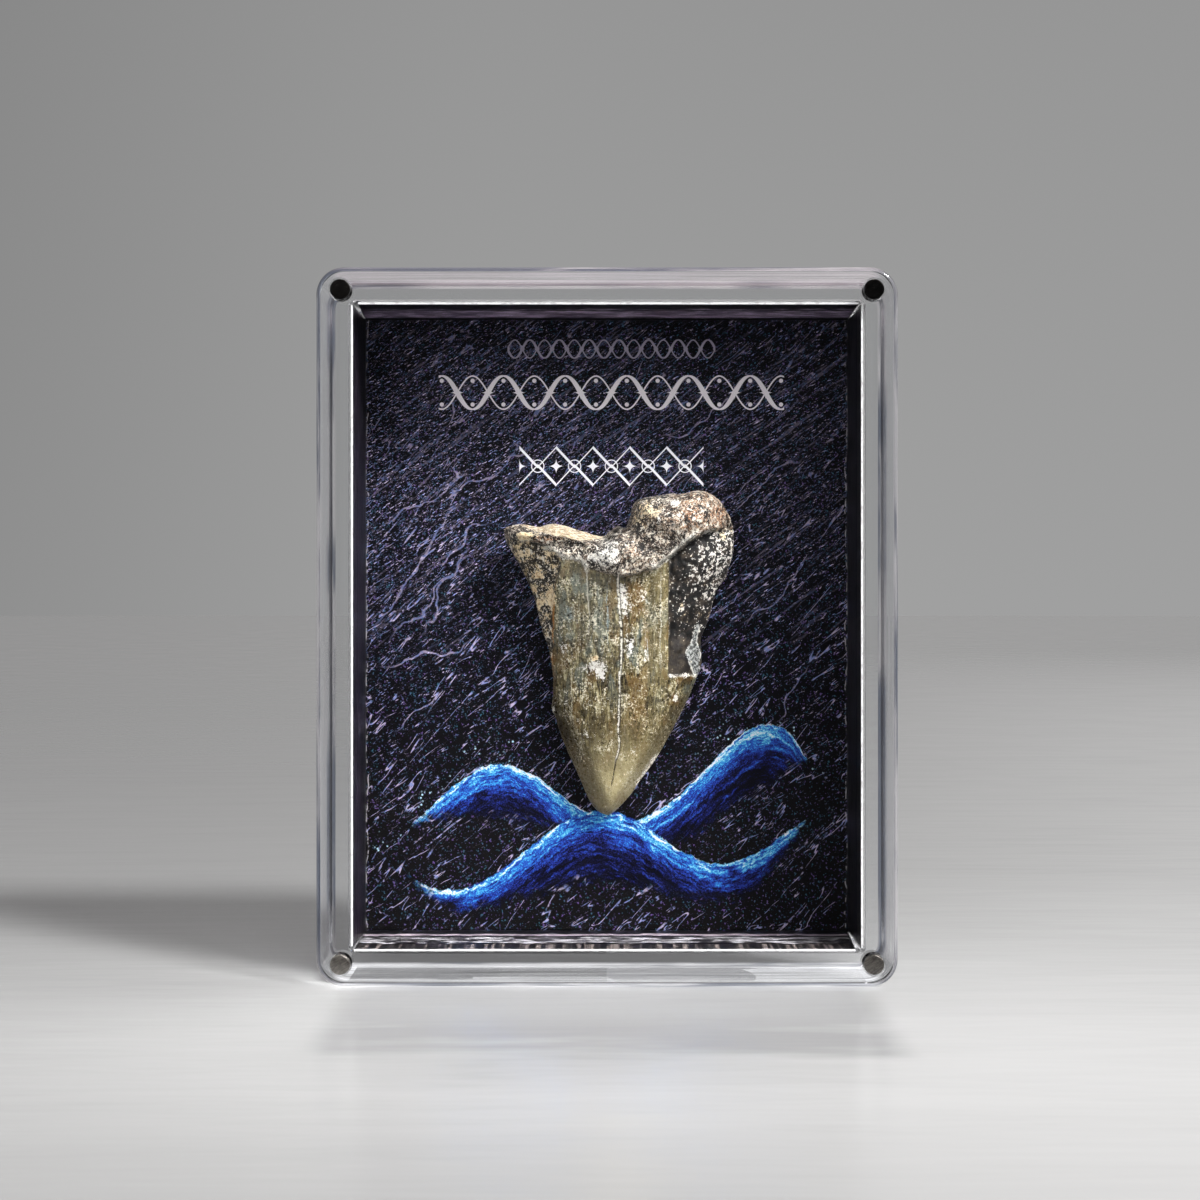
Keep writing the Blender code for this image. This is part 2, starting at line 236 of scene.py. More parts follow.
class Nodes:
    # a node tree, with one method that adds any node
    def __init__(self, tree):
        self.tree = tree

    def node(self, kind, settings, inputs, output=0):
        # settings first, then the values or links of the sockets
        made = self.tree.nodes.new("ShaderNode" + kind)
        for key, value in settings.items():
            if key == "stops":
                ramp = made.color_ramp
                while len(ramp.elements) < len(value):
                    ramp.elements.new(0.5)
                for element, (position, color) in zip(ramp.elements, value):
                    element.position, element.color = position, color
            elif key == "points":
                curve = made.mapping.curves[0]
                while len(curve.points) < len(value):
                    curve.points.new(0.5, 0.5)
                for point, place in zip(curve.points, value):
                    point.location = place
                made.mapping.update()
            else:
                setattr(made, key, value)
        for key, value in (inputs.items() if isinstance(inputs, dict) else enumerate(inputs)):
            if isinstance(value, Value):
                self.tree.links.new(value.socket, made.inputs[key])
            else:
                made.inputs[key].default_value = value
        return Value(self, made.outputs[output])

    def mix(self, share, first, second):
        # colours are other values, or red, green and blue from 0 to 255
        first, second = (c if isinstance(c, Value) else srgb(*c) for c in (first, second))
        return self.node("Mix", {"data_type": "RGBA"}, {0: share, 6: first, 7: second}, 2)

    def coats(self, color, *coats):
        # one coat over another, each given as its cover and its colour
        for cover, tone in coats:
            color = self.mix(cover, color, tone)
        return color

    def ramp(self, value, *stops):
        # each stop is a position and a colour
        stops = [(position, srgb(*color)) for position, color in stops]
        return self.node("ValToRGB", {"stops": stops}, [value])


class Finish(Nodes):
    # one material, its Principled shader, and the place in millimetres that its patterns read
    def __init__(self, name, **fixed):
        self.material = bpy.data.materials.new(name)
        self.material.use_nodes = True
        super().__init__(self.material.node_tree)
        self.shader = self.tree.nodes["Principled BSDF"]
        for socket, value in fixed.items():
            self.shader.inputs[socket.replace("_", " ")].default_value = value
        self.place = self.node("Mapping", {}, {
            "Vector": self.node("TexCoord", {}, [], "Object"), "Scale": (1 / mm, 1 / mm, 1 / mm)
        })
        self.x, self.y, self.z = (self.node("SeparateXYZ", {}, [self.place], k) for k in range(3))

    def noise(self, size, detail=2.0, roughness=0.5, where=None, distortion=0.0):
        # size in millimetres
        return self.node("TexNoise", {}, {
            "Vector": where or self.place, "Scale": 1.0 / size, "Detail": detail,
            "Roughness": roughness, "Distortion": distortion,
        })

    def cells(self, size):
        # distance to the nearest of a set of random points
        return self.node("TexVoronoi", {}, {"Vector": self.place, "Scale": 1.0 / size})

    def moved(self, offset=(0, 0, 0), turn=0.0, stretch=(1, 1, 1)):
        # the place turned about Y by an angle in degrees, then stretched and moved
        turned = self.node("Mapping", {}, {"Vector": self.place, "Rotation": (0, math.radians(turn), 0)})
        scale = tuple(1 / s for s in stretch)
        return self.node("Mapping", {}, {"Vector": turned, "Location": offset, "Scale": scale})

    def bump(self, height, distance, strength=1.0, under=None):
        # a normal from a height, over the normal of a coarser bump
        inputs = {"Height": height, "Distance": distance, "Strength": strength}
        if under:
            inputs["Normal"] = under
        return self.node("Bump", {}, inputs)

    def feed(self, socket, value):
        # a value into a socket of the shader
        self.tree.links.new(value.socket, self.shader.inputs[socket])


# the camera
cameraSet = {
    "place": (-1.4, -389.0, 76.5),  # mm
    "lens": 56.7,
}


def makeCamera(say):
    # level, looking along +Y
    camera = bpy.data.cameras.new("camera")
    camera.lens = say["lens"]
    camera.clip_start, camera.clip_end = 0.01, 50
    holder = bpy.data.objects.new("camera", camera)
    holder.location = Vector(say["place"]) * mm
    holder.rotation_euler = (math.radians(90), 0, 0)
    bpy.context.scene.collection.objects.link(holder)
    bpy.context.scene.camera = holder


makeCamera(cameraSet)
print("camera is set")


# the case: two slabs with rounded corners, a pocket, and blind holes for the magnets
coverLow, coverHigh = nodeBox("case_cover")
bodyLow, bodyHigh = nodeBox("case_body")
cardLow, cardHigh = nodeBox("printed_card")
magnetLow, magnetHigh = nodeBox("body_magnet_bottom_left")

case = {
    "width": coverHigh[0] - coverLow[0],
    "height": coverHigh[2] - coverLow[2],
    "cornerRadius": 5.5,
    "cornerSteps": 20,
    "wall": 6.0,
    "backWall": 2.5,
    "pocketRadius": 1.0,
    "edgeRound": 0.9,
    "edgeSteps": 6,
    "seamChamfer": 0.25,
    "rimChamfer": 0.2,
    "holeRadius": 2.25,
    "holeDepth": 3.25,
    "holeSides": 56,
}
middleZ = (coverLow[2] + coverHigh[2]) / 2
hold = 0.03  # mm from a bend to the extra points that keep flat faces flat-shaded beside it


def roundedOutline(width, height, radius, steps):
    # x = sx (width/2 - r) + r cos a, z = middle + sz (height/2 - r) + r sin a, over four quarter circles,
    # each with one more point before and after it on the straight sides
    turn = np.radians(np.concatenate([[0], np.linspace(0, 90, steps + 1), [90]]))
    a = np.radians(np.arange(4)[:, None] * 90) + turn[None, :]
    past = hold * np.concatenate([[-1], np.zeros(steps + 1), [1]])
    sx, sz = np.array([1, -1, -1, 1])[:, None], np.array([1, 1, -1, -1])[:, None]
    x = sx * (width / 2 - radius) + radius * np.cos(a) - past * np.sin(a)
    z = middleZ + sz * (height / 2 - radius) + radius * np.sin(a) + past * np.cos(a)
    return np.stack([x.ravel(), z.ravel()], axis=-1)


def ring(width, height, radius, inset, y, steps):
    # the outline shrunk by inset, at depth y
    outline = roundedOutline(width - 2 * inset, height - 2 * inset, radius - inset, steps)
    return np.stack([outline[:, 0], np.full(len(outline), y), outline[:, 1]], axis=-1)


def slabRings(say, ySeam, yFace):
    # rings from the seam, over its small chamfer, along the side and round the far edge to the flat face
    toFace = np.sign(yFace - ySeam)
    angle = np.linspace(0, math.pi / 2, say["edgeSteps"] + 1)
    insets = [say["seamChamfer"], 0.0, 0.0, 0.0, *(say["edgeRound"] * (1 - np.cos(angle)))]
    depths = [
        ySeam, ySeam + toFace * say["seamChamfer"], ySeam + toFace * (say["seamChamfer"] + hold),
        yFace - toFace * (say["edgeRound"] + hold),
        *(yFace - toFace * say["edgeRound"] * (1 - np.sin(angle))),
    ]
    return [
        ring(say["width"], say["height"], say["cornerRadius"], inset, y, say["cornerSteps"])
        for inset, y in zip(insets, depths)
    ]


def magnetCentres():
    # centres of the corner magnets, top left, top right, bottom left, bottom right
    x = (magnetLow[0] + magnetHigh[0]) / 2
    z = (magnetLow[2] + magnetHigh[2]) / 2
    return {"top_left": (x, 2 * middleZ - z), "top_right": (-x, 2 * middleZ - z),
            "bottom_left": (x, z), "bottom_right": (-x, z)}


def insideRounded(x, z, width, height, radius):
    # inside a rounded rectangle: past its straight middle, the place is nearer the corner circle's
    # centre than the radius
    qx, qz = abs(x) - (width / 2 - radius), abs(z - middleZ) - (height / 2 - radius)
    return np.hypot(np.maximum(qx, 0), np.maximum(qz, 0)) + np.minimum(np.maximum(qx, qz), 0) < radius


def seamTriangles(outlines, numbers, say, pocket):
    # Delaunay triangles over the outlines' points, less those in a hole or in the pocket
    points = np.concatenate(outlines)[:, [0, 2]]
    starts = np.cumsum([0, *(len(line) for line in outlines)])
    edges = [
        (first + k, first + (k + 1) % (last - first))
        for first, last in zip(starts[:-1], starts[1:]) for k in range(last - first)
    ]
    made = delaunay_2d_cdt([Vector(p) for p in points], edges, [], 0, 1e-6)
    triangles = np.array([[made[3][corner][0] for corner in face] for face in made[2]])
    x, z = points[triangles].mean(axis=1).T
    keep = np.ones(len(triangles), bool)
    for centreX, centreZ in magnetCentres().values():
        keep &= np.hypot(x - centreX, z - centreZ) > say["holeRadius"]
    if pocket:
        lip = say["rimChamfer"]
        keep &= ~insideRounded(x, z, pocket[0] + 2 * lip, pocket[1] + 2 * lip, pocket[2] + lip)
    return np.concatenate(numbers)[triangles[keep]]


def slabPiece(name, say, ySeam, yFace, pocketFloor, finishes):
    # a slab as rings of points, with a seam face that the holes and the pocket are left out of
    into = np.sign(yFace - ySeam)
    rings = slabRings(say, ySeam, yFace)
    count = len(rings[0])
    points, faces = [np.concatenate(rings)], []
    sides = quadsBetween(len(rings), count, True)
    faces += [(sides[:2 * count], 0, True), (sides[2 * count:], 1, True)]
    faces.append((np.arange((len(rings) - 1) * count, len(rings) * count)[None, :], 0, False))
    outlines, numbers = [rings[0]], [np.arange(count)]
    total = len(rings) * count

    a = np.linspace(0, 2 * math.pi, say["holeSides"], endpoint=False)
    for x, z in magnetCentres().values():
        acrossX, acrossZ = say["holeRadius"] * np.cos(a), say["holeRadius"] * np.sin(a)
        circle = np.stack([x + acrossX, 0 * a, z + acrossZ], axis=-1)
        mouth, floor = circle + (0, ySeam, 0), circle + (0, ySeam + into * say["holeDepth"], 0)
        points += [mouth, floor]
        faces.append((quadsBetween(2, len(a), True, total)[:, ::-1], 0, True))
        faces.append((np.arange(total + len(a), total + 2 * len(a))[None, ::-1], 0, False))
        outlines.append(mouth)
        numbers.append(np.arange(total, total + len(a)))
        total += 2 * len(a)

    pocket = None
    if pocketFloor is not None:
        pocket = (say["width"] - 2 * say["wall"], say["height"] - 2 * say["wall"], say["pocketRadius"])
        lip = say["rimChamfer"]
        walls = [
            ring(*pocket, inset, y, say["cornerSteps"])
            for inset, y in ((-lip, ySeam), (0, ySeam + lip), (0, ySeam + lip + hold), (0, pocketFloor))
        ]
        points += walls
        faces.append((quadsBetween(len(walls), count, True, total)[:, ::-1], 0, True))
        faces.append((np.arange(total + 3 * count, total + 4 * count)[None, ::-1], 0, False))
        outlines.append(walls[0])
        numbers.append(np.arange(total, total + count))
        total += len(walls) * count

    triangles = seamTriangles(outlines, numbers, say, pocket)
    points = np.concatenate(points)
    first, second, third = (points[triangles[:, k]] for k in range(3))
    facing = np.cross(second - first, third - first)
    turned = np.where((facing[:, 1] * -into < 0)[:, None], triangles[:, ::-1], triangles)
    faces.append((turned, 0, False))
    if into > 0:
        faces = [(corners[:, ::-1], number, smooth) for corners, number, smooth in faces[:-1]] + [faces[-1]]
    return newPiece(name, points, faces, finishes, name.replace("Clear", ""))


def acrylicFinish(name, polished=False):
    # clear, with long faint waves; the polished sides show streaks of haze on their rounded edges,
    # and along the surface where it is seen at a low angle
    finish = Finish(
        name, Base_Color=(0.985, 0.99, 0.995, 1), Roughness=0.0, IOR=1.49,
        Transmission_Weight=0.88 if polished else 1.0,
    )
    waves = finish.noise(1.0, 2.0, 0.6, finish.moved(stretch=(45, 2.6, 45)))
    finish.feed("Normal", finish.bump(waves, 0.000012, 0.6))
    if polished:
        haze = finish.noise(1.0, 3.0, 0.6, finish.moved((3, 0, 9), stretch=(40, 1.1, 40))).spread(2.6)
        rubbed = finish.node("LayerWeight", {}, {"Blend": 0.5}, "Facing").rise(0.55, 0.85)
        rubbed = rubbed.most(abs(finish.y).rise(14.7, 15.2))
        finish.feed("Roughness", (haze.rise(0.2, 0.9) * 0.16 + 0.05) * rubbed)
        streaks = finish.mix(haze.rise(0.3, 0.8), (96, 104, 124), (255, 250, 252))
        finish.feed("Base Color", finish.mix(rubbed, (250, 251, 252), streaks))
        # painted glow: emission makes the rubbed upper and lower sides glow, pinkish grey at the top and near
        # white at the foot, standing in for light carried along inside that leaves there
        finish.shader.inputs["Emission Strength"].default_value = 0.7
        top, foot = finish.z.rise(141.0, 142.2), finish.z.rise(1.3, 0.1)
        paintedGlow = finish.coats((60, 60, 63), (top, (154, 142, 147)), (foot, (252, 252, 255)))
        paintedGlow = finish.mix(haze.rise(0.0, 0.9) * 0.75 + 0.25, (20, 21, 28), paintedGlow)
        finish.feed("Emission Color", finish.mix(rubbed, (6, 6, 6), paintedGlow))
    # its shadow is a light one
    shadow = finish.node("LightPath", {}, [], "Is Shadow Ray")
    through = 0.55 if polished else 0.9
    clear = finish.node("BsdfTransparent", {}, [(through, through, through, 1)])
    mixed = finish.node("MixShader", {}, [shadow, Value(finish, finish.shader.outputs[0]), clear])
    finish.tree.links.new(mixed.socket, finish.tree.nodes["Material Output"].inputs["Surface"])
    return finish


acrylic = [acrylicFinish("clearAcrylic"), acrylicFinish("polishedSide", True)]
slabPiece("case_coverClear", case, coverHigh[1], coverLow[1], None, acrylic)
slabPiece("case_bodyClear", case, bodyLow[1], bodyHigh[1], bodyHigh[1] - case["backWall"], acrylic)
print("case is made")


# the magnets: short turned bars with rounded ends
magnet = {
    "round": 0.28,
    "roundSteps": 6,
    "sides": 64,
    "flatRings": 3,
}


def magnetProfile(say, radius, length):
    # radius and depth along the bar: out over one end, round its edge, along the side and back over the other
    a = np.linspace(0, math.pi / 2, say["roundSteps"] + 1)
    flat = np.linspace(0.15, radius - say["round"], say["flatRings"] + 1)[:-1]
    edge = np.stack([radius - say["round"] * (1 - np.sin(a)), say["round"] * (1 - np.cos(a))], axis=-1)
    end = np.concatenate([np.stack([flat, 0 * flat], axis=-1), edge])
    return np.concatenate([end, end[::-1] * (1, -1) + (0, length)])


def magnetPiece(say, node, finish):
    # the profile carried round the bar's axis: x = middle + r cos a, z = middle + r sin a
    low, high = nodeBox(node)
    profile = magnetProfile(say, (high[0] - low[0]) / 2, high[1] - low[1])
    a = np.linspace(0, 2 * math.pi, say["sides"], endpoint=False)
    x = (low[0] + high[0]) / 2 + profile[:, :1] * np.cos(a)
    z = (low[2] + high[2]) / 2 + profile[:, :1] * np.sin(a)
    y = low[1] + profile[:, 1:] + 0 * a
    points = np.stack([x, y, z], axis=-1).reshape(-1, 3)
    last = len(points) - say["sides"]
    faces = [
        (quadsBetween(len(profile), say["sides"], True)[:, ::-1], 0, True),
        (np.arange(say["sides"])[None, :], 0, True),
        (np.arange(last, len(points))[None, ::-1], 0, True),
    ]
    newPiece(node + "Turned", points, faces, [finish], node)


def nickelFinish():
    # dull nickel with fine grinding lines across the ends; the upper magnets are painted near black as a
    # painted reflection of a dark room, broken by painted glints
    finish = Finish("nickelPlate", Metallic=1.0, Roughness=0.3)
    lines = finish.noise(1.0, 3.0, 0.7, finish.moved(turn=32, stretch=(1.4, 1.0, 0.09)))
    stains = finish.noise(0.8, 3.0)
    # painted glints in the painted dark of the upper magnets
    paintedGlints = lines.rise(0.56, 0.7) * stains.rise(0.46, 0.56)
    finish.feed("Base Color", finish.coats(
        (92, 87, 82),
        (lines.rise(0.3, 0.7), (166, 160, 152)),
        (stains.rise(0.5, 0.75) * 0.6, (60, 56, 50)),
        # painted reflection: the upper magnets are painted dark, as if mirroring a dark room
        (finish.z.rise(middleZ, middleZ + 1) * (0.97 - paintedGlints * 0.5), (11, 10, 9)),  # the upper ones are dark
    ))
    finish.feed("Roughness", lines * 0.25 + 0.2)
    finish.feed("Normal", finish.bump(lines, 0.00004, 0.8))
    return finish


nickel = nickelFinish()
for corner in magnetCentres():
    for part in ("cover", "body"):
        magnetPiece(magnet, f"{part}_magnet_{corner}", nickel)
print("magnets are made")


# the card: stiff board with a low wavy ridge beside the fold on each side
card = {
    "width": cardHigh[0] - cardLow[0],
    "height": cardHigh[2] - cardLow[2],
    "cornerRadius": 0.7,
    "edgeRound": 0.4,
    "edgeSteps": 5,
    "cornerSteps": 6,
    "pitch": 0.45,          # along the edge
    "wave": 0.12,           # how far the edge wanders inwards
    "ridge": 0.07,          # height of the low ridge beside the fold
    "ridgeInset": 1.25,
    "ridgeReach": 0.8,      # how far from its crest the ridge wanders with it
    # distance from the edge, and share of the ridge's height
    "ridgeProfile": [(0.75, 0.15), (1.0, 0.75), (1.25, 1.0), (1.5, 0.7), (1.8, 0.1), (2.2, 0.0), (3.0, 0.0)],
}


def paperFinish(name, paintedGlow, dim, pale):
    # white paper: the flaps' bright cut edges, which get a painted glow from a little emission, and the plain
    # backs of the card and flaps
    finish = Finish(name, Roughness=0.6, Specular_IOR_Level=0.3, Emission_Strength=paintedGlow)
    color = finish.mix(finish.noise(1.2, 3).rise(0.3, 0.55), dim, pale)
    finish.feed("Base Color", color)
    finish.feed("Emission Color", color)
    return finish


# the cut edges carry a painted glow; the backs none
cutEdge = paperFinish("cutEdge", 0.12, (206, 204, 204), (250, 250, 250))
paperBack = paperFinish("paperBack", 0.0, (174, 172, 171), (192, 191, 190))


def cardPiece(say, finishes):
    # rings from the back, up the side, over the rounded edge and a low wrinkled fold, to the flat front
    steps = int(say["height"] / say["pitch"])
    corner = roundedOutline(say["width"], say["height"], say["cornerRadius"], say["cornerSteps"])
    loop = np.vstack([corner, corner[:1]])
    along = np.concatenate([[0], np.cumsum(np.hypot(*np.diff(loop, axis=0).T))])
    places = np.unique(np.concatenate([along[:-1], np.linspace(0, along[-1], 4 * steps, endpoint=False)]))
    outline = np.stack([np.interp(places, along, loop[:, k]) for k in range(2)], axis=-1)
    inner = np.array([say["width"] / 2, say["height"] / 2]) - say["cornerRadius"]
    centre = np.clip(outline - (0, middleZ), -inner, inner)
    outwards = outline - (0, middleZ) - centre
    outwards = outwards / np.maximum(np.hypot(*outwards.T), 1e-6)[:, None]

    # noise on a circle of the outline's length comes back to where it began
    around = np.stack([outline[:, 0], 0 * places, outline[:, 1]], axis=-1)
    wander = say["wave"] * (0.5 + 0.5 * roughNoise(around, 7.0, 11)) + 0.1 * valueNoise(around, 1.6, 17)
    fold = say["ridge"] * np.clip(0.7 + roughNoise(around, 5.0, 23), 0, 1.4)
    shift = 0.5 * roughNoise(around, 9.0, 29)

    a = np.linspace(0, math.pi / 2, say["edgeSteps"] + 1)
    back, front = cardHigh[1], cardLow[1]
    profile = [(0.0 * wander, back), (0.15 * wander, (back + front) / 2)]
    profile += [
        (wander + inset, front + down)
        for inset, down in zip(say["edgeRound"] * (1 - np.cos(a)), say["edgeRound"] * (1 - np.sin(a)))
    ]
    for inset, height in say["ridgeProfile"]:
        near = math.exp(-((inset - say["ridgeInset"]) / say["ridgeReach"]) ** 2)
        profile.append((wander + inset + shift * near, front - height * fold))
    rings = []
    for inset, y in profile:
        inset = (inset + 0 * places)[:, None]
        radius = np.maximum(say["cornerRadius"] - inset, 0.03)
        flat = centre / inner * (inner + say["cornerRadius"] - inset - radius) + outwards * radius
        rings.append(np.stack([flat[:, 0], y + 0 * places, flat[:, 1] + middleZ], axis=-1))
    count, total = len(places), len(places) * len(rings)
    rings.append(np.array([(0, front, middleZ), (0, back, middleZ)]))

    def fan(first, centre):
        # triangles from a ring to its centre
        ids = first + np.arange(count)
        return np.stack([ids, np.roll(ids, -1), np.full(count, centre)], axis=-1)

    faces = [
        (quadsBetween(len(profile), count, True), 0, True),
        (fan(total - count, total), 0, False),
        (fan(0, total + 1)[:, ::-1], 1, False),
    ]
    return newPiece("printedCard", np.concatenate(rings), faces, finishes, "printed_card")


def within(value, low, high, soft=0.05):
    # 1 between low and high, with soft ends
    return value.rise(low - soft, low + soft) * value.rise(high + soft, high - soft)


def repeated(value, pitch, start=0.0):
    # the distance from the middle of the nearest repeat
    return (((value - start) / pitch).math("FRACT") - 0.5) * pitch


def length(first, second):
    # square root of the sum of squares
    return (first * first + second * second).math("SQRT")


def leatherGrain(finish):
    # the print of lit leather: each part is a noise's height less its height a little further along
    def lit(turn, stretch, detail, shift, distortion=0.0):
        here, there = [
            finish.noise(1.0, detail, 0.6, finish.moved(offset, turn, stretch), distortion)
            for offset in ((0, 0, 0), shift)
        ]
        return here - there

    strokes = lit(30, (0.95, 1, 0.44), 2, (0, 0, 0.45)).rise(0.1, 0.26)
    grain = lit(12, (0.65, 1, 0.38), 2, (0.1, 0, 0.4)).rise(0.13, 0.3)
    folds = lit(36, (16, 1, 2.6), 5, (0, 0, 0.12), 0.5).rise(0.02, 0.09)
    return strokes, grain, folds


def wrinkleLines(finish):
    # thin zigzag lines where a stretched noise crosses its middle value, broken by a second noise
    def line(rough, offset, turn, stretch, half):
        # 1 where the noise is within half of 0.5
        height = finish.noise(1.0, 3, rough, finish.moved(offset, turn, stretch), 0.3)
        return abs(height - 0.5).rise(half, half / 4)

    fine = line(0.58, (4, 0, 7), 37, (24, 1, 3.4), 0.012)
    wide = line(0.56, (8, 0, 2), 50, (34, 1, 6), 0.008)
    gaps = finish.noise(1.0, 3, 0.55, finish.moved((2, 0, 1), 10, (3, 1, 3)))
    return (fine * gaps.rise(0.51, 0.6)).most(wide * gaps.rise(0.52, 0.43))


# long creases in the leather: x and z of the lower end, angle, length and half width
creases = [
    (-47.5, 72.0, 56, 27, 0.34), (-43.0, 69.0, 51, 21, 0.28), (-38.5, 71.5, 60, 17, 0.34),
    (-47.0, 93.0, 27, 19, 0.28), (-33.0, 97.5, 33, 20, 0.28), (-35.0, 84.0, 41, 12, 0.26),
    (-46.0, 63.5, 14, 17, 0.28), (27.0, 96.0, 38, 16, 0.24), (31.0, 72.0, 47, 17, 0.24),
    (-44.0, 50.0, 46, 10, 0.24), (36.0, 52.5, 58, 11, 0.22), (13.0, 111.5, 24, 15, 0.24),
]


def creaseLines(finish, table):
    # how bright the crests are, and how dark the folds are below them
    bend = (finish.noise(8.0, 2, 0.5, finish.moved((6, 0, 2))) - 0.5) * 8.0
    bend = bend + (finish.noise(1.1, 2) - 0.5) * 0.5
    crests = folds = 0.0
    for x0, z0, angle, reach, half in table:
        sine, cosine = math.sin(math.radians(angle)), math.cos(math.radians(angle))
        across = (finish.x - x0) * sine - (finish.z - z0) * cosine + bend
        along = (finish.x - x0) * cosine + (finish.z - z0) * sine
        there = within(along, 0.0, reach, reach * 0.2)
        crest = abs(across).rise(half, half * 0.2) * there
        fold = within(across, half, half * 4, half) * there
        crests, folds = crest.most(crests), fold.most(folds)
    return crests, folds


ornament = {
    "middle": 1.0,
    "upper": {"z": 129.4, "reach": 21.9, "swing": 1.9, "pitch": 6.26},
    "centre": {"z": 120.2, "reach": 36.4, "swing": 3.5, "pitch": 13.0},
    "lower": {"z": 104.7, "reach": 19.4, "size": 3.95, "pitch": 7.76},
}


def wave(x, z, row, side, thin, swelling):
    # a sine line whose stroke swells where it is steep: z = side swing sin(2 pi x / pitch)
    k = 2 * math.pi / row["pitch"]
    steep = (x * k + math.pi / 2).sine()
    slope = steep * (row["swing"] * k)
    off = abs(z - (x * k).sine() * (side * row["swing"])) / (slope * slope + 1.0).math("SQRT")
    return (off - abs(steep) * swelling - thin).rise(0.07, -0.03)


def spark(x, z, size):
    # a star with four hollow sides: sqrt |x| + sqrt |z| below a limit
    return (abs(x).math("SQRT") + abs(z).math("SQRT")).rise(size + 0.05, size - 0.05)


def ornamentRows(finish, say):
    # three rows in place of a heading: fine crossed waves with beads, woven ribbons with stars, and lozenges
    x = finish.x - say["middle"]

    def ended(marks, row):
        # the row, cut at its reach
        return marks * abs(x).rise(row["reach"] + 0.05, row["reach"] - 0.05)

    row = say["upper"]
    z, pitch = finish.z - row["z"], row["pitch"]
    waves = wave(x, z, row, 1, 0.1, 0.14).most(wave(x, z, row, -1, 0.1, 0.0))
    beads = length(repeated(x, pitch / 2, pitch / 4), z).rise(0.55, 0.4)
    upper = ended(waves.most(beads), row)

    row = say["centre"]
    z, pitch = finish.z - row["z"], row["pitch"]
    ribbons = wave(x, z, row, 1, 0.13, 0.36).most(wave(x, z, row, -1, 0.13, 0.0))
    stars = spark(repeated(x, pitch / 2, pitch / 4), z, 1.25)
    dots = length(repeated(x, pitch / 2), abs(z) - 2.5).rise(0.5, 0.38)
    centre = ended(ribbons.most(stars).most(dots), row)

    row = say["lower"]
    z, pitch = finish.z - row["z"], row["pitch"]
    across = repeated(x, pitch)
    heavy = (across * z).rise(-0.3, 0.3) * 0.14 + 0.1
    lozenges = (abs(abs(across) * 1.07 + abs(z) - row["size"]) * 0.7 - heavy).rise(0.07, -0.03)
    away = length(repeated(x, pitch, pitch / 2), z)
    rings = (abs(away - 1.3) - 0.08).rise(0.07, -0.03).most(away.rise(0.45, 0.33))
    return upper, centre, ended(lozenges.most(spark(across, z, 1.3)).most(rings), row)


swell = {
    # two ribbons of water that cross: their crest lines as x and z, and how far they reach down below them
    "rear": {
        "crest": [
            (-43, 27), (-37, 33), (-30, 39), (-23, 42), (-16, 40), (-9, 35), (-2, 31), (5, 30), (12, 33),
            (19, 39), (26, 46), (32, 50), (37, 49.5), (41, 45), (43, 41),
        ],
        "reach": [
            (-43, 0), (-38, 3), (-30, 10), (-20, 13), (-8, 9), (4, 8), (14, 11), (24, 15), (33, 15), (39, 8),
            (43, 0),
        ],
    },
    "front": {
        "crest": [
            (-43, 20), (-38, 16.5), (-32, 15.5), (-25, 18), (-18, 23), (-11, 28.5), (-4, 32), (3, 31.5),
            (10, 27.5), (17, 23), (24, 21), (31, 23), (37, 27), (43, 31),
        ],
        "reach": [
            (-43, 0), (-38, 3), (-30, 6), (-20, 10), (-10, 15), (0, 17), (10, 14), (20, 10), (30, 9), (37, 6),
            (43, 0),
        ],
    },
}


def alongCard(finish, points, low, high):
    # a value from low to high at this x, held in a curve node over the swell's length
    first, last = points[0][0], points[-1][0]
    knots = [((x - first) / (last - first), (value - low) / (high - low)) for x, value in points]
    share = (finish.x - first) / (last - first)
    return finish.node("FloatCurve", {"points": knots}, {"Value": share}) * (high - low) + low


def printedWaves(finish, say):
    # water that is bright along a broken crest, streaked along its slope and lost in black;
    # gives its colour and its cover
    x, z = finish.x, finish.z
    grain = finish.noise(0.3, 2, 0.6).spread(3.0)
    ragged = finish.noise(1.7, 5, 0.65).spread(2.4) - 0.5
    color, cover = (6, 6, 12), 0.0
    for layer, name in enumerate(("rear", "front")):
        below = alongCard(finish, say[name]["crest"], 0, 60) - z + ragged * 0.8
        reach = alongCard(finish, say[name]["reach"], 0, 30)
        along = [
            finish.node("CombineXYZ", {}, [x / long, layer * 9.0, below / wide])
            for long, wide in ((7.0, 1.4), (2.2, 0.45))
        ]
        flow, thin = (finish.noise(1.0, 4, 0.65, where, 0.8).spread(3.0) for where in along)
        light = below.rise(9.0, 0.0) * 0.4 + (below / (reach + 0.01)).rise(1.1, 0.1) * 0.24
        light = light + (flow - 0.5) * 0.5 + (thin - 0.5) * 0.34 + (grain - 0.5) * 0.26
        foam = finish.cells(0.7).rise(0.42, 0.24) * 0.3 + thin.rise(0.2, 0.8) * 0.25
        light = light + below.rise(2.0, 0.1) * flow.rise(0.1, 0.6) * foam
        water = finish.ramp(
            light, (0.0, (7, 7, 18)), (0.2, (18, 20, 62)), (0.4, (34, 50, 142)), (0.57, (42, 98, 200)),
            (0.72, (62, 172, 222)), (0.86, (150, 222, 236)), (1.0, (240, 236, 246)),
        )
        here = below.rise(-0.1, 0.25) * (reach - below + ragged * 5.0).rise(0.0, 3.5)
        color = finish.mix(here, color, water)
        cover = here.most(cover)
        if name == "rear":
            spray = finish.cells(0.95).rise(0.3, 0.17) * finish.noise(2.6, 3).rise(0.47, 0.6)
            spray = spray * within(below, -6.0, -0.3, 0.3) * x.rise(14.0, 24.0).most(x.rise(-12.0, -20.0))
    return finish.mix(spray, color, (190, 226, 240)), cover.most(spray)


